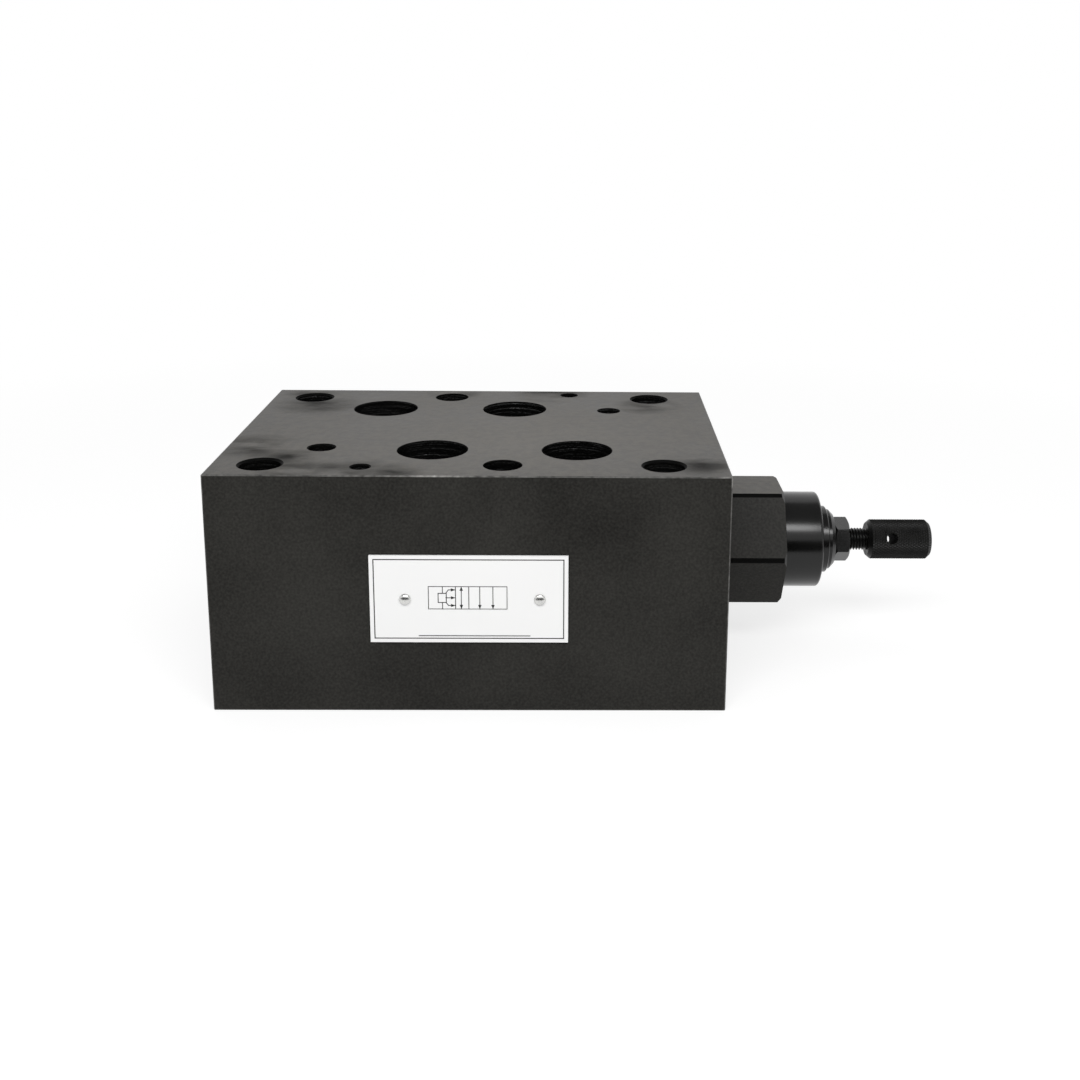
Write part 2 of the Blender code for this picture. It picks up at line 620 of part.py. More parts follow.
def make_pilot_head(steel, rubber):
    """The hexagon head: a nose in the main bore, a threaded spigot, the pilot chamber and the bonnet's thread."""
    nose = BORE_RADIUS - THREAD_GAP
    thread = HEAD_THREAD_RADIUS - THREAD_GAP
    groove = HEAD_NOSE_X + (HEAD_NOSE_LENGTH - GROOVE_WIDTH) / 2
    outline = [(HEAD_NOSE_X, nose - SMALL_CHAMFER), (HEAD_NOSE_X + SMALL_CHAMFER, nose)]
    outline = grooved(outline, groove, nose)
    seat_bore = SEAT_RADIUS + SLIDE_GAP
    bonnet_bore = BONNET_THREAD_RADIUS + THREAD_GAP
    outline += [
        (HEAD_SHOULDER_X, nose),
        (HEAD_SHOULDER_X, HEAD_RELIEF_RADIUS),
        (HEAD_SHOULDER_X + HEAD_RELIEF_LENGTH, HEAD_RELIEF_RADIUS),
        (HEAD_SHOULDER_X + HEAD_RELIEF_LENGTH, thread),
        (RIGHT_FACE - HEAD_MOUTH_DEPTH, thread),
        (RIGHT_FACE - HEAD_MOUTH_DEPTH, HEAD_NECK_RADIUS),
        (RIGHT_FACE + SEAT_GAP, HEAD_NECK_RADIUS),
        (RIGHT_FACE + SEAT_GAP, HEAD_WASHER_RADIUS),
        (HEX_LEFT_X, HEAD_WASHER_RADIUS),
        (HEX_LEFT_X, HEX_CORNER_RADIUS - HEX_CHAMFER),
        (HEX_LEFT_X + HEX_CHAMFER, HEX_CORNER_RADIUS),
        (HEX_RIGHT_X - HEX_CHAMFER, HEX_CORNER_RADIUS),
        (HEX_RIGHT_X, HEX_CORNER_RADIUS - HEX_CHAMFER),
        (HEX_RIGHT_X, bonnet_bore),
        (BONNET_TIP_X - SEAT_GAP, bonnet_bore),
        (BONNET_TIP_X - SEAT_GAP, CHAMBER_RADIUS),
        (SEAT_RIGHT_X, CHAMBER_RADIUS),
        (SEAT_RIGHT_X, seat_bore),
        (HEAD_NOSE_X + INLET_HOLE_DEPTH, seat_bore),
        (HEAD_NOSE_X + INLET_HOLE_DEPTH, INLET_HOLE_RADIUS),
        (HEAD_NOSE_X, INLET_HOLE_RADIUS),
    ]
    head = turned("pilot_head", outline, "X", steel, (0, 0, BORE_HEIGHT), hollow=True)
    flats = hexagon("cut_head_flats", HEX_FLATS, HEAD_NOSE_X - OVERCUT, HEX_RIGHT_X + OVERCUT, math.radians(90))
    shape_with(head, [flats], "INTERSECT")
    drain_x = HEAD_SHOULDER_X + HEAD_RELIEF_LENGTH / 2
    drain = drill(
        "cut_head_drain",
        (drain_x, 0, BORE_HEIGHT + CHAMBER_RADIUS - OVERCUT),
        (drain_x, 0, BORE_HEIGHT + HEAD_RELIEF_RADIUS + OVERCUT),
        DRAIN_RADIUS,
        SMALL_SIDES,
    )
    shape_with(head, [drain])
    seal_ring(
        "head_nose_seal",
        rubber,
        "X",
        (0, 0, BORE_HEIGHT),
        nose - GROOVE_DEPTH + SEAL_GAP,
        BORE_RADIUS - SEAL_GAP,
        SEAL_WIDTH,
        groove + GROOVE_WIDTH / 2,
    )
    seal_ring(
        "head_face_seal",
        rubber,
        "X",
        (0, 0, BORE_HEIGHT),
        HEAD_NECK_RADIUS + SEAL_GAP,
        HEAD_MOUTH_RADIUS - SEAL_GAP,
        SEAL_WIDTH,
        RIGHT_FACE - HEAD_MOUTH_DEPTH / 2,
    )


def make_pilot_stage(steel):
    """The seat pressed into the head, and the cone poppet that the pilot spring holds on it."""
    seat = [
        (SEAT_LEFT_X, SEAT_ENTRY_RADIUS),
        (SEAT_LEFT_X, SEAT_RADIUS),
        (SEAT_RIGHT_X, SEAT_RADIUS),
        (SEAT_RIGHT_X, SEAT_ORIFICE_RADIUS),
        (SEAT_LEFT_X + SEAT_LENGTH / 2, SEAT_ORIFICE_RADIUS),
        (SEAT_LEFT_X + SEAT_LENGTH / 2, SEAT_ENTRY_RADIUS),
    ]
    turned("pilot_seat", seat, "X", steel, (0, 0, BORE_HEIGHT), INNER_SIDES, hollow=True)
    slope = math.tan(POPPET_CONE_ANGLE)
    apex = SEAT_RIGHT_X - SEAT_ORIFICE_RADIUS / slope + SEAT_GAP / math.sin(POPPET_CONE_ANGLE)
    flange_left = apex + POPPET_RADIUS / slope
    flange_right = flange_left + POPPET_FLANGE_LENGTH
    poppet = [
        (POPPET_TIP_RADIUS / slope, POPPET_TIP_RADIUS),
        (flange_left - apex, POPPET_RADIUS),
        (flange_left - apex, POPPET_FLANGE_RADIUS),
        (flange_right - apex, POPPET_FLANGE_RADIUS),
        (flange_right - apex, SPRING_GUIDE_RADIUS),
        (flange_right - apex + SPRING_GUIDE_LENGTH, SPRING_GUIDE_RADIUS),
    ]
    piece = turned("pilot_poppet", poppet, "X", steel, (apex, 0, BORE_HEIGHT), INNER_SIDES)
    guide = hexagon("cut_poppet_guide", POPPET_FLATS, apex - OVERCUT, flange_right + SPRING_GUIDE_LENGTH + OVERCUT, 0)
    shape_with(piece, [guide], "INTERSECT")
    return flange_right


def make_plunger(steel, rubber):
    """The sealed piston between the adjusting screw and the pilot spring."""
    radius = CHAMBER_RADIUS - SLIDE_GAP
    groove = SPRING_GUIDE_LENGTH + PLUNGER_GROOVE_FROM_FACE
    outline = [
        (0.0, SPRING_GUIDE_RADIUS),
        (SPRING_GUIDE_LENGTH, SPRING_GUIDE_RADIUS),
        (SPRING_GUIDE_LENGTH, radius),
    ]
    outline = grooved(outline, groove, radius)
    outline.append((SPRING_GUIDE_LENGTH + PLUNGER_LENGTH, radius))
    origin = (PLUNGER_LEFT_X - SPRING_GUIDE_LENGTH, 0, BORE_HEIGHT)
    turned("plunger", outline, "X", steel, origin, INNER_SIDES)
    seal_ring(
        "plunger_seal",
        rubber,
        "X",
        origin,
        radius - GROOVE_DEPTH + SEAL_GAP,
        radius,
        SEAL_WIDTH,
        groove + GROOVE_WIDTH / 2,
    )


def make_bonnet(steel, rubber):
    """The round housing: a threaded spigot in the head, the plunger's bore, and a stepped boss for the screw."""
    left = HEX_RIGHT_X + SEAT_GAP
    groove = left - GROOVE_WIDTH
    screw_hole = SCREW_RADIUS + FINE_THREAD_GAP
    outline = [
        (BONNET_TIP_X, CHAMBER_RADIUS),
        (BONNET_TIP_X, BONNET_THREAD_RADIUS - SMALL_CHAMFER),
        (BONNET_TIP_X + SMALL_CHAMFER, BONNET_THREAD_RADIUS),
        (groove, BONNET_THREAD_RADIUS),
        (groove, BONNET_THREAD_RADIUS - GROOVE_DEPTH),
        (left, BONNET_THREAD_RADIUS - GROOVE_DEPTH),
        (left, BONNET_RADIUS),
        (BONNET_RIGHT_X - BONNET_CHAMFER, BONNET_RADIUS),
        (BONNET_RIGHT_X, BONNET_RADIUS - BONNET_CHAMFER),
        (BONNET_RIGHT_X, BOSS_RADIUS),
        (BONNET_RIGHT_X + BOSS_LENGTH, BOSS_RADIUS),
        (BONNET_RIGHT_X + BOSS_LENGTH, BOSS_STEP_RADIUS),
        (BOSS_END_X - BOSS_CHAMFER, BOSS_STEP_RADIUS),
        (BOSS_END_X, BOSS_STEP_RADIUS - BOSS_CHAMFER),
        (BOSS_END_X, screw_hole),
        (BONNET_RIGHT_X - BONNET_ROOF, screw_hole),
        (BONNET_RIGHT_X - BONNET_ROOF, CHAMBER_RADIUS),
    ]
    turned("bonnet", outline, "X", steel, (0, 0, BORE_HEIGHT), hollow=True)
    seal_ring(
        "bonnet_seal",
        rubber,
        "X",
        (0, 0, BORE_HEIGHT),
        BONNET_THREAD_RADIUS - GROOVE_DEPTH + SEAL_GAP,
        BONNET_THREAD_RADIUS + THREAD_GAP - SEAL_GAP,
        SEAL_WIDTH,
        groove + GROOVE_WIDTH / 2,
    )


def make_lock_nut(steel):
    """The jam nut, stopped with a flat turned a little up from the nameplate side."""
    corner = NUT_CORNER_RADIUS
    inner = SCREW_RADIUS + FINE_THREAD_GAP
    outline = [
        (0.0, inner),
        (0.0, corner - NUT_CHAMFER),
        (NUT_CHAMFER / 2, corner),
        (NUT_THICKNESS - NUT_CHAMFER / 2, corner),
        (NUT_THICKNESS, corner - NUT_CHAMFER),
        (NUT_THICKNESS, inner),
    ]
    place = (NUT_LEFT_X, 0, BORE_HEIGHT)
    nut = turned("lock_nut", outline, "X", steel, place, HOLE_SIDES, hollow=True)
    left, right = NUT_LEFT_X - OVERCUT, NUT_LEFT_X + NUT_THICKNESS + OVERCUT
    flats = hexagon("cut_nut_flats", NUT_FLATS, left, right, math.radians(NUT_TURN))
    shape_with(nut, [flats], "INTERSECT")


def make_adjusting_screw(steel):
    """The spindle and its knurled head, turned in one piece and cross-drilled for a tommy bar."""
    knob = KNOB_LEFT_X - SCREW_TIP_X
    outline = [
        (0.0, SCREW_RADIUS - SCREW_CHAMFER),
        (SCREW_CHAMFER, SCREW_RADIUS),
        (knob, SCREW_RADIUS),
        (knob, KNOB_RADIUS - KNOB_CHAMFER),
        (knob + KNOB_CHAMFER, KNOB_RADIUS),
        (knob + KNOB_LENGTH - KNOB_CHAMFER, KNOB_RADIUS),
        (knob + KNOB_LENGTH, KNOB_RADIUS - KNOB_CHAMFER),
    ]
    screw = turned("adjusting_screw", outline, "X", steel, (SCREW_TIP_X, 0, BORE_HEIGHT), HOLE_SIDES)
    centre = Vector((KNOB_LEFT_X + KNOB_HOLE_FROM_END, 0, BORE_HEIGHT))
    reach = Vector((0, -math.cos(KNOB_HOLE_TILT), math.sin(KNOB_HOLE_TILT))) * (KNOB_RADIUS + OVERCUT)
    hole = drill("cut_knob_hole", centre - reach, centre + reach, KNOB_HOLE_RADIUS, SMALL_SIDES)
    shape_with(screw, [hole])


def make_passage_plugs(steel):
    """Socket-head plugs that close the two cross drillings at the back face."""
    radius = PASSAGE_PLUG_RADIUS - THREAD_GAP
    inner_y = BACK_FACE - PASSAGE_PLUG_DEPTH + SEAT_GAP
    outer_y = BACK_FACE - PLUG_BELOW_FACE
    for name, x, z in passage_places():
        outline = [
            (inner_y, radius),
            (outer_y - SMALL_CHAMFER, radius),
            (outer_y, radius - SMALL_CHAMFER),
        ]
        plug = turned(f"{name}_passage_plug", outline, "Y", steel, (x, 0, z), HOLE_SIDES)
        end = outer_y - PASSAGE_PLUG_DEPTH / 2
        socket = drill(f"cut_{name}_plug_socket", (x, outer_y + OVERCUT, z), (x, end, z), radius / 2, 6)
        shape_with(plug, [socket])


def make_port_seals(rubber):
    """Seals in the recesses of the bottom face, pressed level with it."""
    ports = {
        "port_seal_P": PORT_P,
        "port_seal_T": PORT_T,
        "port_seal_A": PORT_A,
        "port_seal_B": PORT_B,
    }
    for name, point in ports.items():
        width = PORT_RECESS_DEPTH - SEAT_GAP - SEAL_BELOW_FACE
        centre = (*pattern_place(point), SEAL_BELOW_FACE + width / 2)
        inner = PORT_RADIUS + SEAT_GAP
        seal_ring(name, rubber, "Z", centre, inner, PORT_RECESS_RADIUS - SEAT_GAP, width)
    pilots = {"pilot_seal_X": (PILOT_X, PILOT_X_RADIUS), "pilot_seal_Y": (PILOT_Y, PILOT_Y_RADIUS)}
    for name, (point, radius) in pilots.items():
        width = PILOT_RECESS_DEPTH - SEAT_GAP - SEAL_BELOW_FACE
        centre = (*pattern_place(point), SEAL_BELOW_FACE + width / 2)
        inner = radius + SEAT_GAP
        seal_ring(name, rubber, "Z", centre, inner, PILOT_RECESS_RADIUS - SEAT_GAP, width)


def make_nameplate(enamel, steel):
    """The plate on the front face and the two domed drive screws that hold it."""
    shape = bmesh.new()
    bmesh.ops.create_cube(shape, size=1)
    bmesh.ops.scale(shape, vec=(PLATE_WIDTH, PLATE_THICKNESS, PLATE_HEIGHT), verts=shape.verts[:])
    upright = [
        edge
        for edge in shape.edges
        if abs(edge.verts[0].co.y - edge.verts[1].co.y) > PLATE_THICKNESS / 2
    ]
    bmesh.ops.bevel(shape, geom=upright, offset=PLATE_CORNER, segments=2, affect="EDGES", profile=0.5)
    back_y = FRONT_FACE - PLATE_GAP
    centre = (PLATE_CENTRE_X, back_y - PLATE_THICKNESS / 2, PLATE_CENTRE_Z)
    plate = add_object("nameplate", shaded(shape, "nameplate"), enamel, centre)
    front_y = back_y - PLATE_THICKNESS
    shape_with(plate, plate_screw_cutters("plate_hole", front_y - OVERCUT, back_y + OVERCUT, SLIDE_GAP))
    under_head = front_y - PLATE_GAP
    dome_steps = 4
    for side, x in plate_screw_places().items():
        outline = [
            (FRONT_FACE + PLATE_SCREW_LENGTH - under_head, PLATE_SCREW_RADIUS),
            (0.0, PLATE_SCREW_RADIUS),
            (0.0, PLATE_SCREW_HEAD_RADIUS),
        ]
        for step in range(1, dome_steps):
            angle = math.radians(90) * step / dome_steps
            rise = PLATE_SCREW_HEAD_HEIGHT * math.sin(angle)
            outline.append((-rise, PLATE_SCREW_HEAD_RADIUS * math.cos(angle)))
        outline.append((-PLATE_SCREW_HEAD_HEIGHT, PLATE_SCREW_HEAD_RADIUS / 10))
        place = (x, under_head, PLATE_CENTRE_Z)
        turned(f"nameplate_screw_{side}", outline, "Y", steel, place, SMALL_SIDES)


def make_valve():
    black_oxide = surface("black_oxide", (0.028, 0.027, 0.024), 0.5, 0.7)
    polished_black = surface("polished_black", (0.030, 0.030, 0.032), 0.22, 0.9)
    bright_steel = surface("bright_steel", (0.55, 0.55, 0.54), 0.3, 1.0)
    spring_steel = surface("spring_steel", (0.35, 0.35, 0.36), 0.35, 1.0)
    brass = surface("brass", (0.60, 0.45, 0.18), 0.3, 1.0)
    rubber = surface("seal_rubber", (0.015, 0.015, 0.015), 0.6, 0.0)
    enamel = surface("white_enamel", (0.90, 0.90, 0.89), 0.4, 0.0)
    make_block(black_oxide)
    make_bore_plug(black_oxide, rubber)
    make_spool(bright_steel, brass)
    make_pilot_head(black_oxide, rubber)
    flange_right = make_pilot_stage(bright_steel)
    make_plunger(bright_steel, rubber)
    make_bonnet(polished_black, rubber)
    make_lock_nut(polished_black)
    make_adjusting_screw(polished_black)
    make_spring(
        "main_spring",
        spring_steel,
        SPOOL_RIGHT_X - SPOOL_POCKET_DEPTH,
        HEAD_NOSE_X,
        MAIN_SPRING_RADIUS,
        MAIN_SPRING_WIRE,
        MAIN_SPRING_TURNS,
    )
    make_spring(
        "pilot_spring",
        spring_steel,
        flange_right,
        PLUNGER_LEFT_X,
        PILOT_SPRING_RADIUS,
        PILOT_SPRING_WIRE,
        PILOT_SPRING_TURNS,
    )
    make_passage_plugs(black_oxide)
    make_port_seals(rubber)
    make_nameplate(enamel, bright_steel)


for leftover in list(bpy.data.objects):
    bpy.data.objects.remove(leftover)
make_valve()
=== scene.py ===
"""The looks of a sandwich pressure-reducing valve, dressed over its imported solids.

Shapes are given in millimetres in the part's own frame, and become metres when a mesh is made.
"""

import json
import math

import bmesh
import bpy
from mathutils import Matrix, Vector


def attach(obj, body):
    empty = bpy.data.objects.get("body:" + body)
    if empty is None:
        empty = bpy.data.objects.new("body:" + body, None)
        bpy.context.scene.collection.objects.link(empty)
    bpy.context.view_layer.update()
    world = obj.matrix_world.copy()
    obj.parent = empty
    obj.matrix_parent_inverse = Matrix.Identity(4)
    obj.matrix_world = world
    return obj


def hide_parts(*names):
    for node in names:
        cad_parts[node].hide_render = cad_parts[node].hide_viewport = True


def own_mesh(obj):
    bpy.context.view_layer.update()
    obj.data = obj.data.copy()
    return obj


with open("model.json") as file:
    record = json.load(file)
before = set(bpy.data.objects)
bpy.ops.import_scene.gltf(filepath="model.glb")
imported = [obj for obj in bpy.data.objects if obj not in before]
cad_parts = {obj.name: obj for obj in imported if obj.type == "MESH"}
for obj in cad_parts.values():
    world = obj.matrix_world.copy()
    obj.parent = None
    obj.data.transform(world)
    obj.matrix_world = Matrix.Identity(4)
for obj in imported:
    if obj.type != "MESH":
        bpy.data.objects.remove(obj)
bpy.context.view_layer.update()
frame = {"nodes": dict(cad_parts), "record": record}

MM = 0.001

# Block
LENGTH = 167.0
DEPTH = 117.0
HEIGHT = 80.0
EDGE = 0.45
LEFT = -LENGTH / 2
RIGHT = LENGTH / 2
FRONT = -DEPTH / 2
BACK = DEPTH / 2
OVERCUT = 1.0

# Bore axis
AXIS_Z = 39.0
AXIS = (0.0, 0.0, AXIS_Z)

# Holes through the top face: name, x, y, radius, floor, chamfer, recess radius and depth below
HOLES = (
    ("port_T", -37.7, 28.7, 11.75, -OVERCUT, 0.2, (15.8, 3.0)),
    ("port_A", -14.2, -28.3, 11.75, -OVERCUT, 0.2, (15.8, 3.0)),
    ("port_B", 34.3, -28.3, 11.75, -OVERCUT, 0.2, (15.8, 3.0)),
    ("port_P", 10.8, 28.7, 11.75, 44.0, 0.2, None),
    ("bolt_far_left", -67.7, 45.7, 6.75, -OVERCUT, 0.7, None),
    ("bolt_far_right", 62.5, 45.7, 6.75, -OVERCUT, 0.7, None),
    ("bolt_near_left", -67.7, -46.4, 6.75, -OVERCUT, 0.7, None),
    ("bolt_near_right", 62.5, -46.4, 6.75, -OVERCUT, 0.7, None),
    ("bolt_middle_far", -14.5, 47.2, 6.25, -OVERCUT, 0.15, None),
    ("bolt_middle_near", 10.3, -46.4, 6.25, -OVERCUT, 0.15, None),
    ("pilot_X", -51.7, -26.3, 4.5, -OVERCUT, 0.4, (7.6, 2.0)),
    ("pilot_Y", 46.3, 26.7, 4.0, -OVERCUT, 0.4, (7.6, 2.0)),
    ("pin_far", 31.3, 51.7, 3.1, 68.0, 0.4, None),
    ("pin_near", -35.2, -48.8, 3.1, 68.0, 0.4, None),
)
LOWER_HOLES = (
    ("port_P_lower", 10.8, 28.7, 11.75, 34.0, (15.8, 3.0)),
    ("pin_far_lower", 31.3, 51.7, 3.1, 12.0, None),
    ("pin_near_lower", -35.2, -48.8, 3.1, 12.0, None),
)

# Cross drillings in the back face: name, x, z
PASSAGES = (("inlet", 2.8, 28.0), ("outlet", 18.8, 50.0))
PASSAGE_RADIUS = 5.0
PASSAGE_PLUG_RADIUS = 7.1
PASSAGE_PLUG_DEPTH = 12.0

# Main bore, from left to right: place along the bore and radius
BORE_OUTLINE = (
    (LEFT - OVERCUT, 16.5),
    (-65.5, 16.5),
    (-65.5, 12.0),
    (-2.2, 12.0),
    (-2.2, 14.5),
    (7.8, 14.5),
    (7.8, 12.0),
    (13.8, 12.0),
    (13.8, 14.5),
    (23.8, 14.5),
    (23.8, 12.0),
    (62.0, 12.0),
    (62.0, 18.0),
    (80.5, 18.0),
    (80.5, 19.8),
    (RIGHT + OVERCUT, 19.8),
)

# Turned pieces on the bore axis
HEAD_CORNER = 23.15
HEAD_OUTLINE = (
    (52.0, 11.3),
    (52.4, 11.7),
    (56.4, 11.7),
    (56.4, 9.5),
    (59.6, 9.5),
    (59.6, 11.7),
    (64.0, 11.7),
    (64.0, 16.0),
    (69.0, 16.0),
    (69.0, 17.7),
    (80.5, 17.7),
    (80.5, 16.8),
    (83.8, 16.8),
    (83.8, 19.5),
    (84.7, 19.5),
    (84.7, 22.25),
    (85.6, HEAD_CORNER),
    (107.0, HEAD_CORNER),
    (107.9, 22.25),
    (107.9, 12.3),
    (86.2, 12.3),
    (86.2, 8.0),
    (63.3, 8.0),
    (63.3, 6.3),
    (54.0, 6.3),
    (54.0, 4.0),
    (52.0, 4.0),
)
BONNET_OUTLINE = (
    (86.5, 8.0),
    (86.5, 11.6),
    (86.9, 12.0),
    (105.0, 12.0),
    (105.0, 9.8),
    (108.2, 9.8),
    (108.2, 16.85),
    (108.5, 17.15),
    (120.8, 17.15),
    (121.25, 17.05),
    (121.6, 16.8),
    (121.82, 16.45),
    (121.9, 16.05),
    (121.9, 12.3),
    (122.2, 12.0),
    (124.6, 12.0),
    (124.9, 11.7),
    (124.9, 10.8),
    (126.1, 10.8),
    (127.6, 9.3),
    (127.6, 4.15),
    (116.9, 4.15),
    (116.9, 8.0),
)
PLUG_OUTLINE = (
    (-82.9, 15.8),
    (-82.5, 16.2),
    (-65.8, 16.2),
    (-65.8, 11.7),
    (-59.9, 11.7),
    (-59.9, 9.5),
    (-56.7, 9.5),
    (-56.7, 11.7),
    (-50.9, 11.7),
    (-50.5, 11.3),
)
HEX_FLATS = 41.0
NUT_FLATS = 14.0
NUT_LEFT = 127.9
NUT_THICKNESS = 5.5
NUT_CORNER = 8.0
NUT_CHAMFER = 1.4
NUT_TURN = math.radians(13.5)
SOCKET_FLATS = 14.0
SOCKET_DEPTH = 9.0

# Adjusting screw
SCREW_TIP = 104.3
SCREW_RADIUS = 4.0
THREAD_PITCH = 25.4 / 24
THREAD_DEPTH = 0.6134 * THREAD_PITCH
THREAD_STEPS = 12
KNOB_LEFT = 140.2
KNOB_RIGHT = 163.0
KNOB_RADIUS = 7.15
KNOB_CHAMFER = 1.2
KNOB_HOLE_RADIUS = 2.0
KNOB_HOLE_REACH = 9.0
KNOB_HOLE_X = KNOB_LEFT + 8.3
KNOB_HOLE_TILT = math.radians(20)
KNURL_TEETH = 45
KNURL_DEPTH = 0.32
KNURL_ANGLE = math.radians(30)
KNURL_STEP = 0.17
KNURL_SIDES_PER_TOOTH = 6

# Springs: left end, right end, radius, wire, turns, joint, end that stays, share of length kept
SPRINGS = (
    ("main_spring", 27.9, 51.7, 6.7, 1.6, 7, "spool_slide", 52.0, 0.66),
    ("pilot_spring", 71.9, 91.7, 5.0, 1.6, 6, "plunger_travel", 71.6, 0.64),
)

# Nameplate
PLATE_WIDTH = 63.5
PLATE_HEIGHT = 29.5
PLATE_THICKNESS = 0.8
PLATE_CENTRE_Z = 39.1
PLATE_BACK_Y = FRONT - 0.1
PLATE_FRONT_Y = PLATE_BACK_Y - PLATE_THICKNESS
PLATE_SCREWS_X = (("left", -20.45), ("right", 22.65))
SCREW_HEAD_RADIUS = 1.9
SCREW_HEAD_HEIGHT = 1.0
INK_THICKNESS = 0.02

# Seals in the bottom face: name, x, y, inner and outer radius, lower and upper height
BOTTOM_SEALS = (
    ("port_seal_T", -37.7, 28.7, 12.05, 15.5, 0.2, 2.7),
    ("port_seal_A", -14.2, -28.3, 12.05, 15.5, 0.2, 2.7),
    ("port_seal_B", 34.3, -28.3, 12.05, 15.5, 0.2, 2.7),
    ("port_seal_P", 10.8, 28.7, 12.05, 15.5, 0.2, 2.7),
    ("pilot_seal_X", -51.7, -26.3, 4.8, 7.3, 0.2, 1.7),
    ("pilot_seal_Y", 46.3, 26.7, 4.3, 7.3, 0.2, 1.7),
)

# Places on the block's edges made bright, partly wear from handling and partly a painted highlight, and dark patches
# on its top face, partly smudged and partly painted shade, each with its reach
RUB_AND_GLINT_SPOTS = (
    ((-10.0, FRONT, HEIGHT), 16.0),
    ((RIGHT, FRONT, HEIGHT), 6.0),
)
SMUDGES_AND_SHADE = (
    ((-56.0, -53.0, HEIGHT), 13.0),
    ((-40.0, -54.0, HEIGHT), 17.0),
    ((-24.0, -55.0, HEIGHT), 11.0),
    ((-74.0, -26.0, HEIGHT), 17.0),
    ((-60.0, -38.0, HEIGHT), 12.0),
    ((-64.0, 34.0, HEIGHT), 18.0),
    ((-70.0, 52.0, HEIGHT), 13.0),
    ((-14.0, 55.0, HEIGHT), 12.0),
    ((24.0, 54.0, HEIGHT), 16.0),
    ((62.0, 34.0, HEIGHT), 14.0),
    ((75.0, -45.0, HEIGHT), 14.0),
)

# Painted light: the top face is made lightest near this place, fading over its reach
PAINTED_LIGHT_POOL = (((14.0, -22.0, HEIGHT), 100.0),)

# Stage, in metres: the floor's half width, and where it begins and ends to fade
FLOOR_REACH = 4.0
FLOOR_FADE = (0.25, 0.55)
FLOOR_SHADE = 0.35
FLOOR_GLOW = 0.74
FILL = 0.4
CARD_SIDE = 1.2
DARK = 0.04
DIM = 0.3

# Facets
SIDES = 128
HOLE_SIDES = 96
SCREW_SIDES = 48
TINY = 1e-6


# Materials


def add(tree, kind, values=None, **settings):
    """Adds a node, and fills its inputs with values or with the outputs of other nodes."""
    made = tree.nodes.new(kind)
    for setting, value in settings.items():
        setattr(made, setting, value)
    for key, value in (values or {}).items():
        if isinstance(value, bpy.types.NodeSocket):
            tree.links.new(value, made.inputs[key])
        else:
            made.inputs[key].default_value = value
    return made


def maths(tree, operation, first, second=0.0):
    return add(tree, "ShaderNodeMath", {0: first, 1: second}, operation=operation).outputs[0]


def spread(tree, value, low, high, to_low=0.0, to_high=1.0):
    """Stretches a value between two levels to new levels, and holds it there beyond them."""
    return add(tree, "ShaderNodeMapRange", {0: value, 1: low, 2: high, 3: to_low, 4: to_high}).outputs[0]


def blend(tree, share, first, second):
    """Mixes two colours, each a value or an output."""
    colours = [value if isinstance(value, bpy.types.NodeSocket) else (*value, 1) for value in (first, second)]
    mixed = add(tree, "ShaderNodeMix", {0: share, 6: colours[0], 7: colours[1]}, data_type="RGBA")
    return mixed.outputs[2]


def noise(tree, scale, stretch=(1, 1, 1), detail=3.0, low=0.3, high=0.7):
    """Noise in the part's own coordinates."""
    place = add(tree, "ShaderNodeTexCoord").outputs["Object"]
    mapped = add(tree, "ShaderNodeMapping", {"Vector": place, "Scale": stretch}).outputs[0]
    cloud = add(tree, "ShaderNodeTexNoise", {"Vector": mapped, "Scale": scale, "Detail": detail})
    return spread(tree, cloud.outputs[0], low, high)


def near(tree, spots):
    """1 at a spot and 0 beyond its reach, for spots of a place and a reach in millimetres."""
    place = add(tree, "ShaderNodeTexCoord").outputs["Object"]
    closest = 0.0
    for spot, reach in spots:
        centre = tuple(value * MM for value in spot)
        away = add(tree, "ShaderNodeVectorMath", {0: place, 1: centre}, operation="DISTANCE").outputs["Value"]
        closest = maths(tree, "MAXIMUM", closest, spread(tree, away, 0.0, reach * MM, 1.0, 0.0))
    return closest


def new_material(name, **values):
    """A material and its tree, with constants on the shader's own inputs."""
    material = bpy.data.materials.new(name)
    material.use_nodes = True
    tree = material.node_tree
    shader = tree.nodes["Principled BSDF"]
    for key, value in values.items():
        shader.inputs[key.replace("_", " ")].default_value = value
    return material, tree, shader


def roughened(tree, shader, height, depth):
    """Gives a shader a fine relief, depth in millimetres."""
    bump = add(tree, "ShaderNodeBump", {"Height": height, "Distance": depth * MM})
    tree.links.new(bump.outputs["Normal"], shader.inputs["Normal"])


def finish(name, dark, light, rough, patch=60.0, speckle=0.0, lines=None, grain=1500.0, depth=0.01, **values):
    """A finish that varies between two colours and two roughnesses, with grain and perhaps tool lines."""
    material, tree, shader = new_material(name, **values)
    patches = noise(tree, patch)
    height = noise(tree, grain, detail=2.0)
    mixed = blend(tree, speckle, patches, height)
    tree.links.new(blend(tree, mixed, dark, light), shader.inputs["Base Color"])
    tree.links.new(spread(tree, patches, 0.0, 1.0, *rough), shader.inputs["Roughness"])
    if lines:
        height = maths(tree, "ADD", maths(tree, "MULTIPLY", height, 0.4), noise(tree, 1.0, lines))
    roughened(tree, shader, height, depth)
    return material


